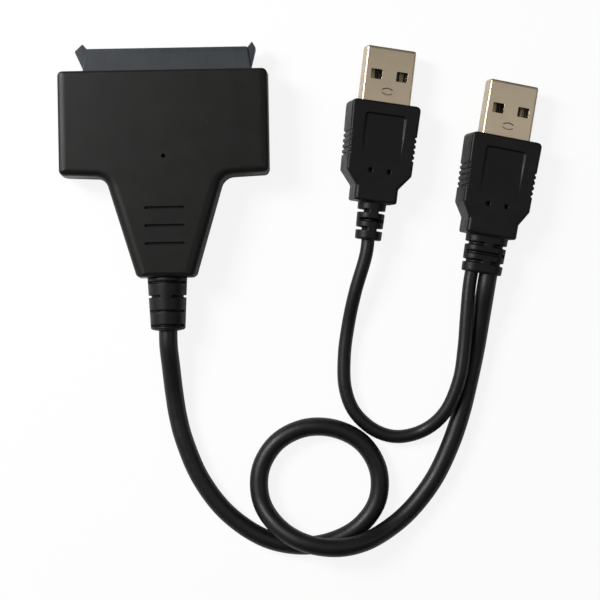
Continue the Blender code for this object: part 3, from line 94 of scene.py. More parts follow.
# Each ear: out from the body's side, ahead of its face
EAR_LEFT = (
    (-0.0016, -0.0048), (0.0, -0.0048), (0.0019, -0.00055), (0.0, 0.0012), (-0.0012, -0.0002))
EAR_RIGHT = (
    (-0.0016, -0.0048), (0.0, -0.0048), (0.0012, -0.00025), (0.00035, 0.0012), (-0.0008, -0.0002))
EAR_LINE = 0.00016   # a fine line between the right ear and the body
EAR_LINE_LENGTH = 0.0022
EAR_LINE_IN = 0.0008   # in from the body's side, and behind its face
EAR_TIP = 0.0012
EAR_TIP_WIDTH = 0.0008
EAR_THICKNESS = 0.0042
EAR_FROM_FRONT = 0.0005
CONTACT_PITCH = 0.00127
DATA_CONTACTS = 7
POWER_CONTACTS = 15
DATA_TO_POWER = 0.00635
SLOT_DEPTH = 0.0050
SLOT_HEIGHT = 0.0013
SLOT_OVER_CENTRE = 0.0002
SLOT_END_MARGIN = 0.0014
KEY_WIDTH = 0.0013
KEY_DROP = 0.0012
KEY_FROM_CONTACT = 0.00085
CONTACT_WIDTH = 0.0006
CONTACT_CLEARANCE = 0.0002
CONTACT_SHEET = 0.00025
CONTACT_UNDER_CENTRE = 0.00075
CONTACT_SETBACK = 0.0006
LIP_LINES = (0.00055, 0.00100)   # fine lines along the top, behind the face
LIP_WIDTH = 0.00014
LIP_DEPTH = 0.00006

RELIEF_LENGTH = 0.0117
RELIEF_START_RADIUS = 0.00470
RELIEF_END_RADIUS = 0.00410
RELIEF_NECK_RADIUS = 0.0030
RELIEF_CORE_RADIUS = 0.0025
RELIEF_CONE_LENGTH = 0.0008
RELIEF_EDGE = 0.0003
RELIEF_SLOTS = 4
RELIEF_SLOT_WIDTH = 0.0005
RELIEF_SLOT_PITCH = 0.0034
RELIEF_FIRST_SLOT = 0.0010
RELIEF_BRIDGE = 0.0026
RELIEF_RING_DEPTH = 0.0007   # how deep the rings show
RELIEF_BEDDED = 0.0004   # how far the relief's front sits in the housing's end
RELIEF_TOP_BRIDGE = 1   # the ring whose bridges are above and below
RELIEF_VOXEL = 0.00013
RELIEF_ROUND_STEPS = 14

MAIN_CABLE_RADIUS = 0.0022
POWER_CABLE_RADIUS = 0.0016
CABLE_PAIR_GAP = 0.0003
CABLE_LEAD = 0.0030
CABLE_INSERT = 0.0015
CABLE_POINT_SPACING = 0.0012
ROUTE_STEPS = 20

PLUG_WIDTH = 0.0120
PLUG_HEIGHT = 0.0045
PLUG_SHEET = 0.0003
PLUG_EXPOSED = 0.0130
PLUG_SEATED = 0.0060
PLUG_CONTACTS = 4
PLUG_CORNER = 0.0006
PLUG_SEAM = 0.00012
PLUG_EDGE = 0.00004
# The shell's drawn-in end: back from the tip, inward
PLUG_LIP = ((0.0007, 0.0), (0.00035, 0.00003), (0.00015, 0.00008), (0.0, 0.00016))
LATCH_HOLE = (0.0027, 0.0023)
LATCH_HOLE_CORNER = 0.0002
LATCH_HOLE_OFFSET = 0.0031
LATCH_HOLE_FROM_TIP = 0.0065
DIMPLE_SIZE = (0.0032, 0.0017)
DIMPLE_DEPTH = 0.00024
DIMPLE_FLOOR = 0.76   # its floor's share of its size
DIMPLE_STEPS = 24
DIMPLE_FROM_TIP = 0.0103

GRIP_THICKNESS = 0.0080
GRIP_CORNER = 0.0006
GRIP_LEAST_CORNER = 0.0001
GRIP_VOXEL = 0.00017
GRIP_FRONT_EDGE = 0.0004
GRIP_FRONT_CORNER = 0.0011
GRIP_FRONT_STEPS = 8
GRIP_BODY = 0.0166
GRIP_SHOULDER = 0.0034
GRIP_NECK = 0.0035
GRIP_NECK_THICKNESS = 0.0076
GRIP_NECK_CORNER = 0.0010
GRIP_REAR_TAPER = 0.0008
PANEL_WIDTH = 0.0096
PANEL_LENGTH = 0.0122
PANEL_DEPTH = 0.0005
PANEL_RUNOUT = 0.00005
PANEL_CORNER = 0.0006
PANEL_FROM_FRONT = 0.0029
SIDE_GROOVES = 5
SIDE_GROOVE_PITCH = 0.0013
SIDE_GROOVE_WIDTH = 0.0005
SIDE_GROOVE_DEPTH = 0.0005
SIDE_GROOVES_FROM_FRONT = 0.0076
MARK_HOLE_RADIUS = 0.0005
MARK_HOLE_DEPTH = 0.0012
MARK_HOLE_SPACING = 0.0045
MARK_HOLE_FROM_FRONT = 0.0162
SLEEVE_LENGTH = 0.0089
SLEEVE_SLOTS = 3
SLEEVE_SLOT_WIDTH = 0.0007
SLEEVE_SLOT_PITCH = 0.0021
SLEEVE_FIRST_SLOT = 0.0022
SLEEVE_BRIDGE = 0.0020
SLEEVE_TAPER = 0.0005
SLEEVE_CORE_SKIN = 0.0002
SLEEVE_START_STEP = 0.00001

POWER_PLUG = {
    "grip_width": 0.0166,
    "neck_width": 0.0104,
    "sleeve_width": 0.0068,
    "sleeve_height": 0.0062,
    "heading": math.radians(-7.7),
    "roll": math.radians(11.0),
    "front": (0.0520, 0.0189),
}
DATA_PLUG = {
    "grip_width": 0.0172,
    "neck_width": 0.0124,
    "sleeve_width": 0.0102,
    "sleeve_height": 0.0062,
    "heading": math.radians(-10.4),
    "roll": math.radians(10.5),
    "front": (0.0802, 0.0103),
}

FLOOR_GAP = 0.0001
FLOOR_MAIN = MAIN_CABLE_RADIUS + FLOOR_GAP
FLOOR_POWER = POWER_CABLE_RADIUS + FLOOR_GAP
MAIN_ROUTE = (
    (0.0004, -0.0425, 0.0043),
    (0.0009, -0.0485, 0.0029),
    (0.0017, -0.0545, FLOOR_MAIN),
    (0.0031, -0.0602, FLOOR_MAIN),
    (0.0069, -0.0695, FLOOR_MAIN),
    (0.0133, -0.0780, FLOOR_MAIN),
    (0.0223, -0.0841, FLOOR_MAIN),
    (0.0312, -0.0859, FLOOR_MAIN),
    (0.0386, -0.0847, FLOOR_MAIN),
    (0.0448, -0.0813, FLOOR_MAIN),
    (0.0490, -0.0754, FLOOR_MAIN),
    (0.0493, -0.0680, FLOOR_MAIN),
    (0.0456, -0.0616, FLOOR_MAIN),
    (0.0392, -0.0581, FLOOR_MAIN),
    (0.0319, -0.0578, FLOOR_MAIN),
    (0.0252, -0.0611, FLOOR_MAIN),
    (0.0212, -0.0675, FLOOR_MAIN),
    (0.0213, -0.0750, 0.0030),
    (0.0253, -0.0809, 0.0054),
    (0.0314, -0.0845, 0.0071),
    (0.0390, -0.0858, 0.0071),
    (0.0454, -0.0848, 0.0060),
    (0.0513, -0.0821, 0.0036),
    (0.0567, -0.0779, 0.0024),
    (0.0624, -0.0708, FLOOR_MAIN),
    (0.0667, -0.0623, FLOOR_MAIN),
    (0.0694, -0.0547, FLOOR_MAIN),
    (0.0714, -0.0470, FLOOR_MAIN),
    (0.0730, -0.0400, 0.0024),
    (0.0743, -0.0325, 0.0034),
)
POWER_ROUTE = (
    (0.0707, -0.0317, 0.0058),
    (0.0700, -0.0393, 0.0056),
    (0.0687, -0.0468, 0.0055),
    (0.0653, -0.0545, 0.0043),
    (0.0603, -0.0589, 0.0020),
    (0.0540, -0.0603, FLOOR_POWER),
    (0.0487, -0.0587, FLOOR_POWER),
    (0.0439, -0.0542, FLOOR_POWER),
    (0.0418, -0.0485, FLOOR_POWER),
    (0.0417, -0.0408, FLOOR_POWER),
    (0.0428, -0.0331, 0.0023),
    (0.0445, -0.0255, 0.0042),
)

CENTRE_Z = HOUSING_THICKNESS / 2
FLANGE_WIDTH = HOUSING_WIDTH - 2 * (WALL + FLANGE_SIDE_GAP)
HEAD_LENGTH = EAR_TIP + CONNECTOR_PROTRUSION + HOUSING_LENGTH + RELIEF_LENGTH + RELIEF_CONE_LENGTH
FRONT_Y = HEAD_LENGTH / 2 - EAR_TIP - CONNECTOR_PROTRUSION
BACK_Y = FRONT_Y - HOUSING_LENGTH
FACE_Y = FRONT_Y + CONNECTOR_PROTRUSION
CONNECTOR_REAR_Y = FRONT_Y - CONNECTOR_INSIDE
RELIEF_END_Y = BACK_Y - RELIEF_LENGTH - RELIEF_CONE_LENGTH
SLOT_FLOOR_Z = CENTRE_Z + SLOT_OVER_CENTRE
CONTACT_Z = CENTRE_Z - CONTACT_UNDER_CENTRE

# Camera: straight above the middle of the view, as the photograph was taken
CAMERA_PLACE = (0.03133, -0.02720, 0.363)
CAMERA_TURN = math.radians(-1.0)
CAMERA_LENS = 90.54
CAMERA_SENSOR = 36.0

# How much of the look is plain white: the floor and the world to the camera, and both in
# reflections and behind glass
FLOOR_WHITE_SEEN = 0.88
WORLD_WHITE_SEEN = 1.0
WHITE_MIRRORED = 0.10
FLOOR_COLOUR = (0.95, 0.95, 0.95)
FLOOR_SIZE = 3.0
FLOOR_DROP = 0.00005
# The room's light comes mostly from this side, and falls off to the other
ROOM_COLOUR = (0.98, 0.99, 1.0)
ROOM_SIDE = (-0.80, 0.30, 0.50)
ROOM_FALLS_FROM = 1.0
ROOM_FALLS_TO = -0.5
ROOM_FALLOFF = 5.0
ROOM_BRIGHT = 0.75
ROOM_DIM = 0.03
# Name, place, what it points at, size, power
LAMPS = (
    ("key", (-0.31, 0.17, 0.40), (0.0, 0.0, 0.0), (0.16, 0.22), 3.1),
    ("side", (0.34, -0.02, 0.52), (0.06, 0.0, 0.0), (0.26, 0.44), 0.30),
)
PLUG_GRAIN = math.radians(-9.0)   # the plugs' common direction


# Camera


def make_camera():
    data = bpy.data.cameras.new("camera")
    data.lens = CAMERA_LENS
    data.sensor_width = CAMERA_SENSOR
    data.clip_start = 0.01
    data.clip_end = 20.0
    camera = bpy.data.objects.new("camera", data)
    camera.location = CAMERA_PLACE
    camera.rotation_euler = (0.0, 0.0, CAMERA_TURN)
    bpy.context.scene.collection.objects.link(camera)
    bpy.context.scene.camera = camera


make_camera()


# Materials


def new_node(tree, kind, values):
    """A new node of a material or of the world, with these inputs set."""
    node = tree.nodes.new(kind)
    for key, value in values.items():
        node.inputs[key].default_value = value
    return node


class Shader:
    """A material with the few nodes that the surfaces here are built from."""

    def __init__(self, name, roughness, metallic=0.0):
        self.material = bpy.data.materials.new(name)
        self.material.use_nodes = True
        self.tree = self.material.node_tree
        self.surface = self.tree.nodes["Principled BSDF"]
        self.surface.inputs["Roughness"].default_value = roughness
        self.surface.inputs["Metallic"].default_value = metallic
        self.coordinates = self.tree.nodes.new("ShaderNodeTexCoord").outputs["Object"]

    def link(self, source, target):
        self.tree.links.new(source, target)

    def stretched(self, scale, turn=0.0):
        """Object coordinates scaled along each axis, after a turn about Z."""
        node = new_node(
            self.tree, "ShaderNodeMapping", {"Scale": scale, "Rotation": (0.0, 0.0, turn)})
        node.vector_type = "TEXTURE"
        self.link(self.coordinates, node.inputs["Vector"])
        return node.outputs["Vector"]

    def noise(self, size, detail, roughness, vector=None):
        """Noise whose features are about size metres across."""
        node = new_node(self.tree, "ShaderNodeTexNoise", {
            "Scale": 1.0 / size, "Detail": detail, "Roughness": roughness})
        self.link(vector or self.coordinates, node.inputs["Vector"])
        return node.outputs["Fac"]

    def spread(self, value, low, high, from_low=0.3, from_high=0.7):
        """A value between two limits, stretched to run from low to high."""
        node = new_node(self.tree, "ShaderNodeMapRange", {
            "From Min": from_low, "From Max": from_high, "To Min": low, "To Max": high})
        self.link(value, node.inputs["Value"])
        return node.outputs["Result"]

    def ramp(self, value, stops):
        node = self.tree.nodes.new("ShaderNodeValToRGB")
        ramp = node.color_ramp
        while len(ramp.elements) < len(stops):
            ramp.elements.new(0.5)
        for element, (place, colour) in zip(ramp.elements, stops):
            element.position = place
            element.color = (*colour, 1.0)
        self.link(value, node.inputs["Fac"])
        return node.outputs["Color"]

    def mix(self, share, first, second):
        node = self.tree.nodes.new("ShaderNodeMix")
        node.data_type = "RGBA"
        self.link(share, node.inputs["Factor"])
        for value, key in ((first, "A"), (second, "B")):
            socket = [s for s in node.inputs if s.name == key and s.type == "RGBA"][0]
            if isinstance(value, tuple):
                socket.default_value = (*value, 1.0)
            else:
                self.link(value, socket)
        return [s for s in node.outputs if s.type == "RGBA"][0]

    def bump(self, height, distance, strength, below=None):
        node = new_node(
            self.tree, "ShaderNodeBump", {"Distance": distance, "Strength": strength})
        self.link(height, node.inputs["Height"])
        if below is not None:
            self.link(below, node.inputs["Normal"])
        return node.outputs["Normal"]

    def finish(self, colour, roughness, normal):
        for source, key in ((colour, "Base Color"), (roughness, "Roughness"), (normal, "Normal")):
            self.link(source, self.surface.inputs[key])
        return self.material


def housing_plastic():
    """Dark, faintly warm plastic with a fine spark-eroded grain and a little dust."""
    s = Shader("housing_grain", 0.40)
    s.surface.inputs["Specular IOR Level"].default_value = 0.25
    tone = s.noise(0.012, 3.0, 0.55)
    base = s.ramp(tone, ((0.30, (0.0044, 0.0041, 0.0036)), (0.70, (0.0058, 0.0054, 0.0047))))
    specks = s.noise(0.0011, 1.0, 0.4)
    dust = s.spread(specks, 0.0, 0.8, 0.77, 0.83)
    colour = s.mix(dust, base, (0.020, 0.019, 0.018))
    rough = s.spread(s.noise(0.004, 4.0, 0.6), 0.37, 0.43)
    grain = s.bump(s.noise(0.00016, 2.0, 0.6), 0.00004, 0.5)
    return s.finish(colour, rough, grain)


def connector_plastic():
    """Slate glass-filled plastic, with faint flow marks across its width."""
    s = Shader("connector_slate", 0.45)
    s.surface.inputs["Specular IOR Level"].default_value = 0.26
    streaks = s.noise(0.0010, 3.0, 0.6, s.stretched((1.0, 6.0, 6.0)))
    tone = s.noise(0.006, 3.0, 0.5)
    base = s.ramp(tone, ((0.30, (0.026, 0.030, 0.034)), (0.70, (0.036, 0.041, 0.046))))
    colour = s.mix(s.spread(streaks, 0.0, 0.5), base, (0.040, 0.045, 0.050))
    rough = s.spread(streaks, 0.40, 0.55)
    grain = s.bump(s.noise(0.00012, 2.0, 0.6), 0.00003, 0.4)
    return s.finish(colour, rough, grain)


def grip_rubber():
    """Black moulded rubber with a satin skin."""
    s = Shader("grip_satin", 0.42)
    s.surface.inputs["Specular IOR Level"].default_value = 0.26
    tone = s.noise(0.008, 3.0, 0.5)
    colour = s.ramp(tone, ((0.30, (0.0026, 0.0026, 0.0027)), (0.70, (0.0038, 0.0038, 0.0039))))
    rough = s.spread(s.noise(0.0025, 4.0, 0.6), 0.40, 0.52)
    grain = s.bump(s.noise(0.00018, 2.0, 0.6), 0.00003, 0.45)
    return s.finish(colour, rough, grain)


def cable_rubber():
    """Black cable jacket: smooth, with faint waves from its cores and fine scuffs."""
    s = Shader("cable_jacket", 0.36)
    s.surface.inputs["Specular IOR Level"].default_value = 0.34
    tone = s.noise(0.010, 3.0, 0.5)
    colour = s.ramp(tone, ((0.30, (0.0020, 0.0020, 0.0021)), (0.70, (0.0032, 0.0032, 0.0033))))
    rough = s.spread(s.noise(0.0018, 4.0, 0.6), 0.40, 0.50)
    waves = s.bump(s.noise(0.0045, 2.0, 0.5), 0.00020, 0.35)
    grain = s.bump(s.noise(0.00015, 2.0, 0.6), 0.00002, 0.4, waves)
    return s.finish(colour, rough, grain)


def plated_steel():
    """Nickel-plated sheet, faintly warm, with rolling marks and handling scratches."""
    s = Shader("plated_sheet", 0.30, 1.0)
    along = s.stretched((6.0, 0.5, 6.0), PLUG_GRAIN)
    rolled = s.noise(0.0009, 3.0, 0.6, along)
    tone = s.noise(0.005, 3.0, 0.5)
    colour = s.ramp(tone, ((0.30, (0.57, 0.470, 0.340)), (0.70, (0.60, 0.500, 0.365))))
    rough = s.spread(rolled, 0.35, 0.38)
    marks = s.bump(rolled, 0.000002, 0.1)
    return s.finish(colour, rough, marks)


def insulator_plastic():
    """Dull grey-brown block with fine ribs along the plug, seen through the latch holes; its
    colour is darker in the ribs' grooves as painted shade.
    """
    s = Shader("insulator_ribs_painted_shade", 0.55)
    s.surface.inputs["Specular IOR Level"].default_value = 0.3
    ribs = new_node(s.tree, "ShaderNodeTexWave", {"Scale": 450.0, "Distortion": 0.4})
    ribs.bands_direction = "X"
    s.link(s.stretched((1.0, 1.0, 1.0), PLUG_GRAIN), ribs.inputs["Vector"])
    ribs_and_painted_shade = ribs.outputs["Fac"]
    # Painted shade: the colour follows the ribs' height, dark in the grooves and lighter on the
    # crests
    colour = s.ramp(ribs_and_painted_shade, ((0.25, (0.020, 0.018, 0.015)), (0.75, (0.105, 0.094, 0.078))))
    rough = s.spread(s.noise(0.0010, 3.0, 0.6), 0.48, 0.62)
    return s.finish(colour, rough, s.bump(ribs_and_painted_shade, 0.00008, 0.6))


def plain_finish(name, colour, roughness, metallic=0.0):
    """A small piece's surface: a colour that varies a little, and a fine grain."""
    s = Shader(name, roughness, metallic)
    size, variation = 0.0008, 0.18
    darker = tuple(c * (1.0 - variation) for c in colour)
    tone = s.ramp(s.noise(size * 4, 3.0, 0.5), ((0.30, darker), (0.70, colour)))
    rough = s.spread(s.noise(size, 3.0, 0.6), roughness - 0.05, roughness + 0.07)
    grain = s.bump(s.noise(size / 4, 2.0, 0.6), size / 30, 0.4)
    return s.finish(tone, rough, grain)


def circuit_board_finish():
    """Green solder mask over copper tracks, a shade lighter where copper lies under it."""
    s = Shader("solder_mask", 0.35)
    tracks = new_node(s.tree, "ShaderNodeTexBrick", {"Scale": 420.0, "Mortar Size": 0.035})
    s.link(s.coordinates, tracks.inputs["Vector"])
    colour = s.mix(tracks.outputs["Fac"], (0.012, 0.085, 0.036), (0.022, 0.160, 0.060))
    rough = s.spread(s.noise(0.002, 3.0, 0.5), 0.30, 0.42)
    grain = s.bump(tracks.outputs["Fac"], 0.00003, 0.5)
    return s.finish(colour, rough, grain)


MATERIALS = {
    "housing_plastic": housing_plastic(),
    "connector_plastic": connector_plastic(),
    "grip_rubber": grip_rubber(),
    "cable_rubber": cable_rubber(),
    "plated_steel": plated_steel(),
    "insulator_plastic": insulator_plastic(),
    # Painted shade: the gold is much darker than plain gold, for the contacts that lie in shade
    # inside the latch holes
    "gilded_contact": plain_finish("gold_plating_painted_shade", (0.34, 0.27, 0.17), 0.45, 1.0),
    "circuit_board": circuit_board_finish(),
    "chip_resin": plain_finish("chip_resin", (0.020, 0.020, 0.021), 0.55),
    "ceramic": plain_finish("ceramic_body", (0.45, 0.36, 0.24), 0.50),
    "light_lens": plain_finish("lens_epoxy", (0.80, 0.80, 0.70), 0.22),
    "wire_red": plain_finish("core_red", (0.60, 0.03, 0.03), 0.42),
    "wire_white": plain_finish("core_white", (0.75, 0.75, 0.72), 0.42),
    "wire_green": plain_finish("core_green", (0.03, 0.35, 0.08), 0.42),
    "wire_black": plain_finish("core_black", (0.02, 0.02, 0.02), 0.42),
}

SLOT_OF_NODE = {row["node"]: row["material_slot"] for row in frame["record"]["subparts"]}
for node_name, node in NODES.items():
    for slot in node.material_slots:
        slot.material = MATERIALS[SLOT_OF_NODE[node_name]]


# Shapes


def add_piece(name, data, slot, *nodes):
    """A visible piece that rides on the body and stands for the nodes named."""
    piece = bpy.data.objects.new(name, data)
    bpy.context.scene.collection.objects.link(piece)
    piece.data.materials.clear()
    piece.data.materials.append(MATERIALS[slot])
    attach(piece, "root")
    if nodes:
        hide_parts(*nodes)
    return piece


def new_mesh(name, bm):
    mesh = bpy.data.meshes.new(name)
    bm.normal_update()
    bm.to_mesh(mesh)
    bm.free()
    return mesh


def add_box(bm, size, centre):
    made = bmesh.ops.create_cube(bm, size=1.0)
    for vertex in made["verts"]:
        vertex.co = Vector(centre) + Vector(tuple(vertex.co[i] * size[i] for i in range(3)))
    return made["verts"]


def bevel_edges(bm, edges, width, segments):
    bmesh.ops.bevel(
        bm, geom=edges, offset=width, segments=segments, affect="EDGES", profile=0.5)


def upright_edges(bm):
    return [e for e in bm.edges if abs(e.verts[0].co.z - e.verts[1].co.z) > REACH / 2]


def box_mesh(name, size, centre, bevel=0.0):
    bm = bmesh.new()
    add_box(bm, size, centre)
    if bevel:
        bevel_edges(bm, list(bm.edges), bevel, 3)
    return new_mesh(name, bm)


def cylinder_mesh(name, radius, depth, centre, axis="Z", segments=32):
    bm = bmesh.new()
    made = bmesh.ops.create_cone(
        bm, cap_ends=True, segments=segments, radius1=radius, radius2=radius, depth=depth)
    for vertex in made["verts"]:
        x, y, z = vertex.co
        if axis == "Y":
            x, y, z = x, z, -y
        vertex.co = Vector(centre) + Vector((x, y, z))
    return new_mesh(name, bm)


def rounded_section(width, height, radius, steps=10):
    radius = min(radius, width / 2, height / 2)
    points = []
    for quarter, (sx, sz) in enumerate(((1, 1), (-1, 1), (-1, -1), (1, -1))):
        cx = sx * (width / 2 - radius)
        cz = sz * (height / 2 - radius)
        for k in range(steps + 1):
            angle = math.pi / 2 * (quarter + k / steps)
            points.append((cx + radius * math.cos(angle), cz + radius * math.sin(angle)))
    return points


def loft(name, rings):
    """Skins closed rings of 3D points and caps both ends."""
    bm = bmesh.new()
    made = [[bm.verts.new(p) for p in ring] for ring in rings]
    for first, second in zip(made, made[1:]):
        count = len(first)
        for i in range(count):
            j = (i + 1) % count
            bm.faces.new((first[i], first[j], second[j], second[i]))
    bm.faces.new(made[0])
    bm.faces.new(made[-1])
    bmesh.ops.remove_doubles(bm, verts=list(bm.verts), dist=MERGE_DISTANCE)
    bmesh.ops.recalc_face_normals(bm, faces=list(bm.faces))
    return new_mesh(name, bm)


def loft_along_y(name, stations, centre_z=0.0):
    return loft(name, [[(x, y, z + centre_z) for x, z in section] for y, section in stations])


def apply_modifiers(thing):
    """Replaces an object's mesh by what its modifiers give."""
    bpy.context.view_layer.update()
    evaluated = thing.evaluated_get(bpy.context.evaluated_depsgraph_get())
    mesh = bpy.data.meshes.new_from_object(evaluated)
    old = thing.data
    thing.modifiers.clear()
    thing.data = mesh
    bpy.data.meshes.remove(old)


def helper(name, data):
    thing = bpy.data.objects.new(name, data)
    bpy.context.scene.collection.objects.link(thing)
    return thing


def carve(target, tools, operation="DIFFERENCE"):
    """Applies one exact Boolean for each tool mesh, in turn."""
    for tool_mesh in tools:
        tool = helper("tool", tool_mesh)
        step = target.modifiers.new("carve", "BOOLEAN")
        step.object = tool
        step.operation = operation
        step.solver = "EXACT"
        apply_modifiers(target)
        bpy.data.objects.remove(tool, do_unlink=True)


def soft_skin(thing, voxel):
    """Remeshes a solid evenly and rounds its edges a little, as moulded rubber has them."""
    remesh = thing.modifiers.new("remesh", "REMESH")
    remesh.mode = "VOXEL"
    remesh.voxel_size = voxel
    smooth = thing.modifiers.new("smooth", "SMOOTH")
    smooth.factor = 0.5
    smooth.iterations = 3
    apply_modifiers(thing)
    thing.data.shade_smooth()


def soft_edges(thing, width):
    bevel = thing.modifiers.new("bevel", "BEVEL")
    bevel.limit_method = "ANGLE"
    bevel.angle_limit = math.radians(40.0)
    bevel.width = width
    bevel.segments = 2
    bevel.harden_normals = False
    apply_modifiers(thing)


def finish_shading(thing, angle=30.0):
    """Smooth faces, with edges sharper than the angle kept, and large faces flat."""
    thing.data.shade_smooth()
    thing.data.set_sharp_from_angle(angle=math.radians(angle))
    weighted = thing.modifiers.new("weighted", "WEIGHTED_NORMAL")
    weighted.keep_sharp = True
    weighted.weight = 80
    apply_modifiers(thing)


def take_mesh(thing, name):
    """The mesh of a helper object, which goes."""
    mesh = thing.data
    bpy.data.objects.remove(thing, do_unlink=True)
    mesh.name = name
    return mesh


# Cords


def smooth_route(points, spacing):
    """Reads evenly spaced points from a smooth curve through the given ones."""
    knots = [Vector(p) for p in points]
    knots = [2 * knots[0] - knots[1]] + knots + [2 * knots[-1] - knots[-2]]
    dense = []
    for i in range(1, len(knots) - 2):
        p0, p1, p2, p3 = knots[i - 1:i + 3]
        t1 = (p1 - p0).length ** 0.5
        t2 = t1 + (p2 - p1).length ** 0.5
        t3 = t2 + (p3 - p2).length ** 0.5
        for k in range(ROUTE_STEPS):
            t = t1 + (t2 - t1) * k / ROUTE_STEPS
            a1 = p0.lerp(p1, t / t1)
            a2 = p1.lerp(p2, (t - t1) / (t2 - t1))
            a3 = p2.lerp(p3, (t - t2) / (t3 - t2))
            b1 = a1.lerp(a2, t / t2)
            b2 = a2.lerp(a3, (t - t1) / (t3 - t1))
            dense.append(b1.lerp(b2, (t - t1) / (t2 - t1)))
    dense.append(knots[-2])
    lengths = [0.0]
    for first, second in zip(dense, dense[1:]):
        lengths.append(lengths[-1] + (second - first).length)
    count = max(2, round(lengths[-1] / spacing))
    route = []
    at = 0
    for k in range(count + 1):
        goal = lengths[-1] * k / count
        while at < len(lengths) - 2 and lengths[at + 1] < goal:
            at += 1
        share = (goal - lengths[at]) / (lengths[at + 1] - lengths[at])
        route.append(dense[at].lerp(dense[at + 1], share))
    return route


def cable_curve(name, route, radius):
    curve = bpy.data.curves.new(name, "CURVE")
    curve.dimensions = "3D"
    curve.fill_mode = "FULL"
    curve.bevel_depth = radius
    curve.bevel_resolution = 7
    curve.use_fill_caps = True
    spline = curve.splines.new("POLY")
    spline.points.add(len(route) - 1)
    for point, place in zip(spline.points, route):
        point.co = (*place, 1.0)
    spline.use_smooth = True
    return curve


def plug_height(plug):
    """How high the plug's axis lies when the rolled grip rests on the table."""
    half_width = plug["grip_width"] / 2 - GRIP_CORNER
    half_height = GRIP_THICKNESS / 2 - GRIP_CORNER
    roll = plug["roll"]
    return half_width * math.sin(roll) + half_height * math.cos(roll) + GRIP_CORNER


def plug_matrix(plug):
    turn = Euler((0.0, plug["roll"], plug["heading"])).to_matrix().to_4x4()
    return Matrix.Translation((*plug["front"], plug_height(plug))) @ turn


def sleeve_end():
    return GRIP_BODY + GRIP_SHOULDER + GRIP_NECK + SLEEVE_LENGTH


def plug_exit(plug, across, beyond):
    """A point behind the plug's sleeve, this far beyond its end."""
    return plug_matrix(plug) @ Vector((across, -sleeve_end() - CLEARANCE - beyond, 0.0))


def cable_pair_offsets():
    """How far across the data plug's sleeve the power and the main cable leave it."""
    apart = MAIN_CABLE_RADIUS + POWER_CABLE_RADIUS + CABLE_PAIR_GAP
    outer = apart + MAIN_CABLE_RADIUS + POWER_CABLE_RADIUS
    power = -outer / 2 + POWER_CABLE_RADIUS
    return power, power + apart


def make_cables():
    power_across, main_across = cable_pair_offsets()
    head_exit = Vector((0.0, RELIEF_END_Y - CLEARANCE, CENTRE_Z))
    main_route = smooth_route((
        head_exit + Vector((0.0, CLEARANCE + CABLE_INSERT, 0.0)),
        head_exit - Vector((0.0, CABLE_LEAD, 0.0)),
        *MAIN_ROUTE,
        plug_exit(DATA_PLUG, main_across, CABLE_LEAD),
        plug_exit(DATA_PLUG, main_across, -CABLE_INSERT),
    ), CABLE_POINT_SPACING)
    power_route = smooth_route((
        plug_exit(DATA_PLUG, power_across, -CABLE_INSERT),
        plug_exit(DATA_PLUG, power_across, CABLE_LEAD),
        *POWER_ROUTE,
        plug_exit(POWER_PLUG, 0.0, CABLE_LEAD),
        plug_exit(POWER_PLUG, 0.0, -CABLE_INSERT),
    ), CABLE_POINT_SPACING)
    main = add_piece(
        "main_cable_jacket", cable_curve("main_cable_jacket", main_route, MAIN_CABLE_RADIUS),
        "cable_rubber", "main_cable")
    power = add_piece(
        "power_cable_jacket", cable_curve("power_cable_jacket", power_route, POWER_CABLE_RADIUS),
        "cable_rubber", "power_cable")
    return main, main_route, power, power_route


main_cable, main_route, power_cable, power_route = make_cables()


# Plugs


def grip_rings(plug):
    """The grip's outer form, from its front face to the end of its sleeve."""
    width, thickness, edge = plug["grip_width"], GRIP_THICKNESS, GRIP_FRONT_EDGE
    rear_width = width - GRIP_REAR_TAPER
    neck_width, neck_height = plug["neck_width"], GRIP_NECK_THICKNESS
    sleeve_w, sleeve_h = plug["sleeve_width"], plug["sleeve_height"]
    shoulder_y = -GRIP_BODY
    neck_y = shoulder_y - GRIP_SHOULDER
    neck_back = neck_y - GRIP_NECK
    end = -sleeve_end()
    stations = []
    for k in range(GRIP_FRONT_STEPS + 1):
        turn = math.pi / 2 * k / GRIP_FRONT_STEPS
        back = GRIP_FRONT_CORNER * (1 - math.cos(turn))
        side = GRIP_FRONT_CORNER * (1 - math.sin(turn))
        short = max(0.0, 1 - back / edge)
        lower = edge * (1 - math.sqrt(1 - short * short))
        corner = max(GRIP_CORNER - lower, GRIP_LEAST_CORNER)
        stations.append((-back, rounded_section(width - 2 * side, thickness - 2 * lower, corner)))
    stations += [
        (shoulder_y, rounded_section(rear_width, thickness, GRIP_CORNER)),
        (neck_y, rounded_section(neck_width, neck_height, GRIP_NECK_CORNER)),
        (neck_back + edge, rounded_section(neck_width, neck_height, GRIP_NECK_CORNER)),
        (neck_back, rounded_section(neck_width - edge, neck_height - edge, GRIP_NECK_CORNER)),
        (neck_back - SLEEVE_START_STEP, rounded_section(sleeve_w, sleeve_h, sleeve_h / 2)),
        (end + edge / 2, rounded_section(
            sleeve_w - SLEEVE_TAPER, sleeve_h - SLEEVE_TAPER, sleeve_h / 2)),
        (end, rounded_section(
            sleeve_w - SLEEVE_TAPER - edge, sleeve_h - SLEEVE_TAPER - edge, sleeve_h / 2)),
    ]
    return stations


def ring_tool(name, y, width, outer, core, bridge, bridge_on_top, centre_z):
    """A slot round a sleeve, without its core and two opposite bridges."""
    reach = outer + REACH
    ring = helper(name, loft_along_y(name, (
        (y - width / 2, rounded_section(2 * reach, 2 * reach, reach / 2)),
        (y + width / 2, rounded_section(2 * reach, 2 * reach, reach / 2)),
    ), centre_z))
    keep = loft_along_y(name + "_core", ((y - width, core), (y + width, core)), centre_z)
    size = (bridge, 2 * width, 3 * reach) if bridge_on_top else (3 * reach, 2 * width, bridge)
    carve(ring, [keep, box_mesh(name + "_bridge", size, (0.0, y, centre_z))])
    return take_mesh(ring, name)


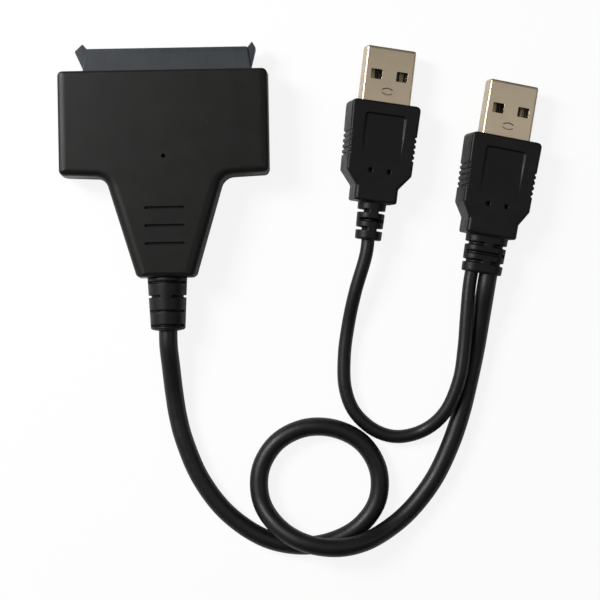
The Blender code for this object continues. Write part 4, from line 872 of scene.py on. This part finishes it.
def grip_mesh(name, plug, core):
    grip = helper(name, loft_along_y(name, grip_rings(plug)))
    pocket = box_mesh("pocket", (
        PLUG_WIDTH + 2 * CLEARANCE,
        PLUG_SEATED + CLEARANCE + REACH,
        PLUG_HEIGHT + 2 * CLEARANCE,
    ), (0.0, (REACH - PLUG_SEATED - CLEARANCE) / 2, 0.0))
    surface = GRIP_THICKNESS / 2
    panel = bmesh.new()
    middle = -PANEL_FROM_FRONT - PANEL_LENGTH / 2
    centre = (0.0, middle, surface + REACH / 2)
    for vertex in add_box(panel, (PANEL_WIDTH, PANEL_LENGTH, REACH), centre):
        if vertex.co.z < surface + REACH / 4:
            vertex.co.z += -PANEL_DEPTH if vertex.co.y > middle else PANEL_RUNOUT
    bevel_edges(panel, upright_edges(panel), PANEL_CORNER, 4)
    tools = [pocket, new_mesh("panel", panel)]
    for x in (-MARK_HOLE_SPACING / 2, MARK_HOLE_SPACING / 2):
        tools.append(cylinder_mesh(
            "mark", MARK_HOLE_RADIUS, 2 * MARK_HOLE_DEPTH, (x, -MARK_HOLE_FROM_FRONT, surface)))
    grooves = bmesh.new()
    for k in range(SIDE_GROOVES):
        y = -SIDE_GROOVES_FROM_FRONT - k * SIDE_GROOVE_PITCH
        taper = GRIP_REAR_TAPER / 2 * (-y / GRIP_BODY)
        for side in (-1, 1):
            x = side * (plug["grip_width"] / 2 - taper - SIDE_GROOVE_DEPTH + REACH / 2)
            add_box(grooves, (REACH, SIDE_GROOVE_WIDTH, GRIP_THICKNESS + REACH), (x, y, 0.0))
    tools.append(new_mesh("grooves", grooves))
    sleeve_start = -GRIP_BODY - GRIP_SHOULDER - GRIP_NECK
    for k in range(SLEEVE_SLOTS):
        y = sleeve_start - SLEEVE_FIRST_SLOT - k * SLEEVE_SLOT_PITCH
        tools.append(ring_tool(
            "slot", y, SLEEVE_SLOT_WIDTH, plug["sleeve_width"] / 2, core,
            SLEEVE_BRIDGE, k % 2 == 0, 0.0))
    carve(grip, tools)
    soft_skin(grip, GRIP_VOXEL)
    return take_mesh(grip, name)


def shell_mesh(name):
    """Folded sheet with a seam underneath, drawn-in lip, latch holes and a dimple."""
    outline = rounded_section(PLUG_WIDTH, PLUG_HEIGHT, PLUG_CORNER, 8)
    lowest = min(z for x, z in outline)
    seam = 1 + [x < 0 and abs(z - lowest) < MERGE_DISTANCE for x, z in outline].index(True)
    path = [
        (PLUG_SEAM / 2, lowest), *outline[seam:], *outline[:seam], (-PLUG_SEAM / 2, lowest)]
    stations = [(-PLUG_SEATED, 0.0)] + [(PLUG_EXPOSED - back, inset) for back, inset in PLUG_LIP]
    bm = bmesh.new()
    rows = []
    for x, z in path:
        row = []
        for y, inset in stations:
            sx = 1 - 2 * inset / PLUG_WIDTH
            sz = 1 - 2 * inset / PLUG_HEIGHT
            row.append(bm.verts.new((x * sx, y, z * sz)))
        rows.append(row)
    for first, second in zip(rows, rows[1:]):
        for k in range(len(stations) - 1):
            bm.faces.new((first[k], first[k + 1], second[k + 1], second[k]))
    bmesh.ops.recalc_face_normals(bm, faces=list(bm.faces))
    top = max(bm.faces, key=lambda face: face.calc_center_median().z)
    if top.normal.z < 0:
        bmesh.ops.reverse_faces(bm, faces=list(bm.faces))
    shell = helper(name, new_mesh(name, bm))
    sheet = shell.modifiers.new("sheet", "SOLIDIFY")
    sheet.thickness = PLUG_SHEET
    sheet.offset = -1.0
    sheet.use_even_offset = True
    apply_modifiers(shell)
    tools = []
    hole_y = PLUG_EXPOSED - LATCH_HOLE_FROM_TIP
    for x in (-LATCH_HOLE_OFFSET, LATCH_HOLE_OFFSET):
        bm = bmesh.new()
        add_box(bm, (*LATCH_HOLE, PLUG_HEIGHT + REACH), (x, hole_y, 0.0))
        bevel_edges(bm, upright_edges(bm), LATCH_HOLE_CORNER, 4)
        tools.append(new_mesh("hole", bm))
    dimple_y = PLUG_EXPOSED - DIMPLE_FROM_TIP
    rings = []
    for share, depth in ((1.0, -REACH), (1.0, 0.0), (DIMPLE_FLOOR, DIMPLE_DEPTH)):
        ring = []
        for k in range(DIMPLE_STEPS):
            angle = 2 * math.pi * k / DIMPLE_STEPS
            ring.append((
                DIMPLE_SIZE[0] / 2 * share * math.cos(angle),
                dimple_y + DIMPLE_SIZE[1] / 2 * share * math.sin(angle),
                PLUG_HEIGHT / 2 - depth))
        rings.append(ring)
    tools.append(loft("dimple", rings))
    carve(shell, tools)
    soft_edges(shell, PLUG_EDGE)
    finish_shading(shell, 50.0)
    return take_mesh(shell, name)


def make_plug(prefix, plug, core):
    """Two new pieces, and the solids' own insulator and contacts, which go with them."""
    place = plug_matrix(plug)
    pieces = []
    for part, mesh, slot in (
            ("grip", grip_mesh(prefix + "_grip_skin", plug, core), "grip_rubber"),
            ("shell", shell_mesh(prefix + "_shell_sheet"), "plated_steel")):
        mesh.transform(place)
        pieces.append(add_piece(mesh.name, mesh, slot, prefix + "_" + part))
    pieces.append(NODES[prefix + "_insulator"])
    pieces += [NODES[prefix + "_contact_" + str(k)] for k in range(1, PLUG_CONTACTS + 1)]
    return pieces


one_radius = POWER_CABLE_RADIUS + SLEEVE_CORE_SKIN
one_core = rounded_section(2 * one_radius, 2 * one_radius, one_radius)
pair_radius = MAIN_CABLE_RADIUS + SLEEVE_CORE_SKIN / 2
pair_width = 2 * (MAIN_CABLE_RADIUS + POWER_CABLE_RADIUS) + CABLE_PAIR_GAP + 2 * SLEEVE_CORE_SKIN
pair_core = rounded_section(pair_width, 2 * pair_radius, pair_radius)
power_plug = make_plug("power_plug", POWER_PLUG, one_core)
data_plug = make_plug("data_plug", DATA_PLUG, pair_core)


# Head


def offset_corners(corners, insets):
    """Corners of an outline whose sides are each moved in by their own inset."""
    sides = []
    count = len(corners)
    for i in range(count):
        start = Vector(corners[i])
        along = (Vector(corners[(i + 1) % count]) - start).normalized()
        inward = Vector((-along.y, along.x))
        sides.append((start + inward * insets[i], along))
    moved = []
    for i in range(count):
        point, along = sides[i - 1]
        other, other_along = sides[i]
        cross = along.x * other_along.y - along.y * other_along.x
        gap = other - point
        step = (gap.x * other_along.y - gap.y * other_along.x) / cross
        moved.append(tuple(point + along * step))
    return moved


def round_corners(corners, radii):
    outline = []
    count = len(corners)
    for i in range(count):
        corner = Vector(corners[i])
        radius = radii[i]
        back = (Vector(corners[i - 1]) - corner).normalized()
        ahead = (Vector(corners[(i + 1) % count]) - corner).normalized()
        half = back.angle(ahead) / 2
        centre = corner + (back + ahead).normalized() * (radius / math.sin(half))
        start = corner + back * (radius / math.tan(half)) - centre
        end = corner + ahead * (radius / math.tan(half)) - centre
        turn = math.atan2(start.x * end.y - start.y * end.x, start.dot(end))
        for k in range(CORNER_STEPS + 1):
            spoke = start.copy()
            spoke.rotate(Matrix.Rotation(turn * k / CORNER_STEPS, 2))
            outline.append(tuple(centre + spoke))
    return outline


def housing_outline(insets):
    """The T seen from above, counter-clockwise, each side moved in by its own inset."""
    half = HOUSING_WIDTH / 2
    wing_y = FRONT_Y - WING_DEPTH
    left = [
        (-half, FRONT_Y),
        (-half, wing_y + WING_RISE),
        (-NECK_ROOT_WIDTH / 2, wing_y),
        (-NECK_END_WIDTH / 2, BACK_Y),
    ]
    corners = left + [(-x, y) for x, y in reversed(left)]
    radii = []
    for i in range(len(corners)):
        beside = (insets[i - 1] + insets[i]) / 2
        inner = abs(abs(corners[i][0]) - NECK_ROOT_WIDTH / 2) < CLEARANCE
        radii.append(ROOT_FILLET + beside if inner else max(CORNER_RADIUS - beside, LEAST_CORNER))
    return round_corners(offset_corners(corners, insets), radii)


def shell_half(name, upward):
    """Outer skin of one half: soft seam edge, drafted side, rounded rim and flat face."""
    sign = 1 if upward else -1
    seam_z = CENTRE_Z + sign * CLEARANCE / 2
    height = CENTRE_Z - CLEARANCE / 2
    draft = math.tan(DRAFT_ANGLE)
    levels = []
    for k in range(SEAM_STEPS + 1):
        turn = math.pi / 2 * k / SEAM_STEPS
        levels.append((SEAM_EDGE * (1 - math.cos(turn)), SEAM_EDGE * (1 - math.sin(turn))))
    for k in range(RIM_STEPS + 1):
        turn = math.pi / 2 * k / RIM_STEPS
        levels.append((height - max(EDGE_DROP) * (1 - math.sin(turn)), 0.0))
    rings = []
    for rise, seam_inset in levels:
        insets = []
        for reach, drop in zip(EDGE_REACH, EDGE_DROP):
            lean = draft * min(rise, height - drop)
            over = max(0.0, (rise - (height - drop)) / drop)
            rim = reach * (1 - math.sqrt(max(0.0, 1 - over * over)))
            insets.append(seam_inset + lean + rim)
        z = seam_z + sign * rise
        rings.append([(x, y, z) for x, y in housing_outline(insets)])
    return helper(name, loft(name, rings))


def prism(name, outline, z_low, z_high):
    return loft(name, [[(x, y, z) for x, y in outline] for z in (z_low, z_high)])


def opening_tools():
    mouth = box_mesh("mouth", (
        CONNECTOR_WIDTH + 2 * CLEARANCE,
        WALL + 2 * REACH,
        CONNECTOR_THICKNESS + 2 * CLEARANCE,
    ), (CONNECTOR_ACROSS, FRONT_Y, CENTRE_Z), MOUTH_EDGE)
    hole = cylinder_mesh(
        "cable_hole", RELIEF_NECK_RADIUS + CLEARANCE, 2 * WALL + 2 * REACH,
        (0.0, BACK_Y, CENTRE_Z), "Y", 48)
    return [mouth, hole]


def groove_tools():
    tools = []
    for k in range(GROOVE_COUNT):
        y = BACK_Y + GROOVE_FROM_BACK + k * GROOVE_PITCH
        outline = rounded_section(GROOVE_LENGTH, GROOVE_WIDTH, GROOVE_WIDTH / 2, 8)
        tools.append(loft("groove", [
            [(x, y + across * share, HOUSING_THICKNESS - depth) for x, across in outline]
            for share, depth in GROOVE_PROFILE]))
    return tools


def light_hole_tool():
    y = FRONT_Y - LIGHT_FROM_FRONT
    turns = [2 * math.pi * k / 32 for k in range(32)]
    return loft("light", [
        [(radius * math.cos(turn), y + radius * math.sin(turn), HOUSING_THICKNESS - depth)
         for turn in turns]
        for radius, depth in LIGHT_HOLE_PROFILE])


def make_housing():
    for half, low, high, tools in (
            ("upper", CENTRE_Z - REACH, HOUSING_THICKNESS - ROOF,
             [light_hole_tool(), *groove_tools()]),
            ("lower", ROOF, CENTRE_Z + REACH, [])):
        name = "housing_" + half + "_skin"
        skin = shell_half(name, half == "upper")
        cavity = prism("cavity", housing_outline([WALL] * 8), low, high)
        carve(skin, [cavity, *opening_tools(), *tools])
        finish_shading(skin)
        add_piece(name, take_mesh(skin, name), "housing_plastic", half + "_shell")


make_housing()


def make_relief():
    profile = (
        (RELIEF_NECK_RADIUS, BACK_Y + WALL + CLEARANCE + FLANGE_DEPTH / 2),
        (RELIEF_NECK_RADIUS, BACK_Y + RELIEF_BEDDED),
        (RELIEF_START_RADIUS, BACK_Y + RELIEF_BEDDED - CLEARANCE),
        (RELIEF_END_RADIUS, RELIEF_END_Y + 2 * RELIEF_EDGE),
        (RELIEF_END_RADIUS - RELIEF_EDGE, RELIEF_END_Y + RELIEF_EDGE),
        (RELIEF_CORE_RADIUS, RELIEF_END_Y),
    )
    stations = [
        (y, rounded_section(2 * radius, 2 * radius, radius, RELIEF_ROUND_STEPS))
        for radius, y in profile]
    relief = helper("relief", loft_along_y("relief", stations, CENTRE_Z))
    tools = []
    for k in range(RELIEF_SLOTS):
        back = RELIEF_FIRST_SLOT + k * RELIEF_SLOT_PITCH
        y = BACK_Y - back
        taper = (RELIEF_START_RADIUS - RELIEF_END_RADIUS) * back / RELIEF_LENGTH
        radius = RELIEF_START_RADIUS - taper - RELIEF_RING_DEPTH
        core = rounded_section(2 * radius, 2 * radius, radius, RELIEF_ROUND_STEPS)
        tools.append(ring_tool(
            "relief_slot", y, RELIEF_SLOT_WIDTH, RELIEF_START_RADIUS, core,
            RELIEF_BRIDGE, k == RELIEF_TOP_BRIDGE, CENTRE_Z))
    carve(relief, tools)
    soft_skin(relief, RELIEF_VOXEL)
    add_piece(
        "relief_skin", take_mesh(relief, "relief_skin"), "grip_rubber", "head_strain_relief")


make_relief()


# Drive connector


def contact_places():
    """Where the data and the power contacts stand, from left to right."""
    data_span = (DATA_CONTACTS - 1) * CONTACT_PITCH
    power_span = (POWER_CONTACTS - 1) * CONTACT_PITCH
    start = -(data_span + DATA_TO_POWER + power_span) / 2
    data = [start + k * CONTACT_PITCH for k in range(DATA_CONTACTS)]
    power_start = start + data_span + DATA_TO_POWER
    power = [power_start + k * CONTACT_PITCH for k in range(POWER_CONTACTS)]
    return data, power


def bevelled(mesh):
    bm = bmesh.new()
    bm.from_mesh(mesh)
    sharp = [e for e in bm.edges if e.calc_face_angle(0.0) > math.radians(30)]
    bmesh.ops.bevel(
        bm, geom=sharp, offset=CONNECTOR_EDGE, segments=2, affect="EDGES", profile=0.5,
        clamp_overlap=True)
    bm.to_mesh(mesh)
    bm.free()
    return mesh


def make_connector():
    data, power = contact_places()
    left = CONNECTOR_ACROSS - CONNECTOR_WIDTH / 2
    right = CONNECTOR_ACROSS + CONNECTOR_WIDTH / 2
    body = prism("connector", [
        (left, CONNECTOR_REAR_Y),
        (right, CONNECTOR_REAR_Y),
        (right, FRONT_Y + EAR_FROM_FRONT),
        (right - EAR_TIP_WIDTH, FACE_Y),
        (left + EAR_TIP_WIDTH, FACE_Y),
        (left, FRONT_Y + EAR_FROM_FRONT),
    ], CENTRE_Z - CONNECTOR_THICKNESS / 2, CENTRE_Z + CONNECTOR_THICKNESS / 2)
    connector = helper("connector_body_skin", bevelled(body))
    joins = [box_mesh(
        "flange", (FLANGE_WIDTH, FLANGE_DEPTH, FLANGE_THICKNESS),
        (0.0, FRONT_Y - WALL - CLEARANCE - FLANGE_DEPTH / 2, CENTRE_Z), FLANGE_EDGE)]
    for side, edge, outline in ((-1, left, EAR_LEFT), (1, right, EAR_RIGHT)):
        points = [(edge + side * out, FACE_Y + ahead) for out, ahead in outline]
        if side < 0:
            points.reverse()
        ear = prism("ear", points, CENTRE_Z - EAR_THICKNESS / 2, CENTRE_Z + EAR_THICKNESS / 2)
        joins.append(bevelled(ear))
    carve(connector, joins, "UNION")
    slot_back = FACE_Y - SLOT_DEPTH
    tools = []
    for places, key_side in ((data, 1), (power, -1)):
        key_centre = places[-1] if key_side > 0 else places[0]
        key_centre += key_side * (KEY_FROM_CONTACT + KEY_WIDTH / 2)
        key_edge = key_centre + key_side * KEY_WIDTH / 2
        far_edge = (places[0] if key_side > 0 else places[-1]) - key_side * SLOT_END_MARGIN
        tools.append(box_mesh(
            "slot", (abs(key_edge - far_edge), SLOT_DEPTH + REACH, SLOT_HEIGHT),
            ((key_edge + far_edge) / 2, slot_back + (SLOT_DEPTH + REACH) / 2,
             SLOT_FLOOR_Z + SLOT_HEIGHT / 2)))
        tools.append(box_mesh(
            "key", (KEY_WIDTH, SLOT_DEPTH + REACH, KEY_DROP + SLOT_HEIGHT / 2),
            (key_centre, slot_back + (SLOT_DEPTH + REACH) / 2,
             SLOT_FLOOR_Z - KEY_DROP + (KEY_DROP + SLOT_HEIGHT / 2) / 2)))
    channel_width = CONTACT_WIDTH + 2 * CONTACT_CLEARANCE
    channel_low = CONTACT_Z - CONTACT_SHEET / 2 - CONTACT_CLEARANCE
    tunnel_high = CONTACT_Z + CONTACT_SHEET / 2 + CONTACT_CLEARANCE
    tunnel_start = CONNECTOR_REAR_Y - REACH
    tunnel_end = FACE_Y - CONTACT_SETBACK + CONTACT_CLEARANCE
    trough_high = SLOT_FLOOR_Z + SLOT_HEIGHT / 2
    tunnels = bmesh.new()
    troughs = bmesh.new()
    for x in data + power:
        add_box(
            tunnels, (channel_width, tunnel_end - tunnel_start, tunnel_high - channel_low),
            (x, (tunnel_start + tunnel_end) / 2, (channel_low + tunnel_high) / 2))
        add_box(
            troughs, (channel_width, tunnel_end - slot_back, trough_high - channel_low),
            (x, (slot_back + tunnel_end) / 2, (channel_low + trough_high) / 2))
    tools += [new_mesh("tunnels", tunnels), new_mesh("troughs", troughs)]
    tools.append(box_mesh(
        "ear_line", (EAR_LINE, EAR_LINE_LENGTH, 2 * EAR_LINE),
        (right - EAR_LINE_IN, FACE_Y - EAR_LINE_IN, CENTRE_Z + EAR_THICKNESS / 2)))
    for behind in LIP_LINES:
        tools.append(box_mesh(
            "lip", (CONNECTOR_WIDTH + REACH, LIP_WIDTH, 2 * LIP_DEPTH),
            (CONNECTOR_ACROSS, FACE_Y - behind, CENTRE_Z + CONNECTOR_THICKNESS / 2)))
    carve(connector, tools)
    finish_shading(connector, 25.0)
    add_piece(
        "connector_body_skin", take_mesh(connector, "connector_body_skin"),
        "connector_plastic", "sata_connector_body")


make_connector()


# Floor, world and lamps


def computed(tree, operation, first, second):
    """A Math node on one linked value and either another or a plain number."""
    node = tree.nodes.new("ShaderNodeMath")
    node.operation = operation
    tree.links.new(first, node.inputs[0])
    if isinstance(second, float):
        node.inputs[1].default_value = second
    else:
        tree.links.new(second, node.inputs[1])
    return node.outputs[0]


def added_white(tree, surface, white_node, seen):
    """A lit surface or sky, mixed with plain white for what looks at it or mirrors it."""
    rays = tree.nodes.new("ShaderNodeLightPath").outputs
    mirrored = computed(tree, "MAXIMUM", rays["Is Glossy Ray"], rays["Is Transmission Ray"])
    amount = computed(
        tree, "MAXIMUM",
        computed(tree, "MULTIPLY", rays["Is Camera Ray"], seen),
        computed(tree, "MULTIPLY", mirrored, WHITE_MIRRORED))
    white = new_node(tree, white_node, {"Strength": 1.0})
    mix = tree.nodes.new("ShaderNodeMixShader")
    tree.links.new(amount, mix.inputs[0])
    tree.links.new(surface, mix.inputs[1])
    tree.links.new(white.outputs[0], mix.inputs[2])
    return mix.outputs[0]


def make_floor():
    bm = bmesh.new()
    bmesh.ops.create_grid(bm, x_segments=1, y_segments=1, size=FLOOR_SIZE)
    floor = bpy.data.objects.new("floor", new_mesh("floor", bm))
    floor.location.z = -FLOOR_DROP
    bpy.context.scene.collection.objects.link(floor)
    material = bpy.data.materials.new("floor_white")
    material.use_nodes = True
    tree = material.node_tree
    surface = tree.nodes["Principled BSDF"]
    surface.inputs["Base Color"].default_value = (*FLOOR_COLOUR, 1.0)
    surface.inputs["Roughness"].default_value = 0.9
    surface.inputs["Specular IOR Level"].default_value = 0.1
    seen = added_white(tree, surface.outputs[0], "ShaderNodeEmission", FLOOR_WHITE_SEEN)
    tree.links.new(seen, tree.nodes["Material Output"].inputs["Surface"])
    floor.data.materials.append(material)


def make_world():
    world = bpy.data.worlds.new("studio")
    bpy.context.scene.world = world
    world.use_nodes = True
    tree = world.node_tree
    plain = tree.nodes["Background"]
    plain.inputs["Color"].default_value = (*ROOM_COLOUR, 1.0)
    direction = tree.nodes.new("ShaderNodeTexCoord").outputs["Generated"]
    toward = tree.nodes.new("ShaderNodeVectorMath")
    toward.operation = "DOT_PRODUCT"
    toward.inputs[1].default_value = ROOM_SIDE
    tree.links.new(direction, toward.inputs[0])
    share = new_node(tree, "ShaderNodeMapRange", {
        "From Min": ROOM_FALLS_TO, "From Max": ROOM_FALLS_FROM})
    tree.links.new(toward.outputs["Value"], share.inputs["Value"])
    falloff = computed(tree, "POWER", share.outputs["Result"], ROOM_FALLOFF)
    level = new_node(tree, "ShaderNodeMapRange", {"To Min": ROOM_DIM, "To Max": ROOM_BRIGHT})
    tree.links.new(falloff, level.inputs["Value"])
    tree.links.new(level.outputs["Result"], plain.inputs["Strength"])
    seen = added_white(tree, plain.outputs[0], "ShaderNodeBackground", WORLD_WHITE_SEEN)
    tree.links.new(seen, tree.nodes["World Output"].inputs["Surface"])


def make_lamp(name, place, target, size, power):
    data = bpy.data.lights.new(name, "AREA")
    data.shape = "RECTANGLE"
    data.size, data.size_y = size
    data.energy = power
    lamp = bpy.data.objects.new(name, data)
    lamp.location = place
    lamp.rotation_euler = (Vector(target) - Vector(place)).to_track_quat("-Z", "Y").to_euler()
    bpy.context.scene.collection.objects.link(lamp)


make_floor()
make_world()
for lamp in LAMPS:
    make_lamp(*lamp)

bpy.context.scene.view_settings.view_transform = "Standard"
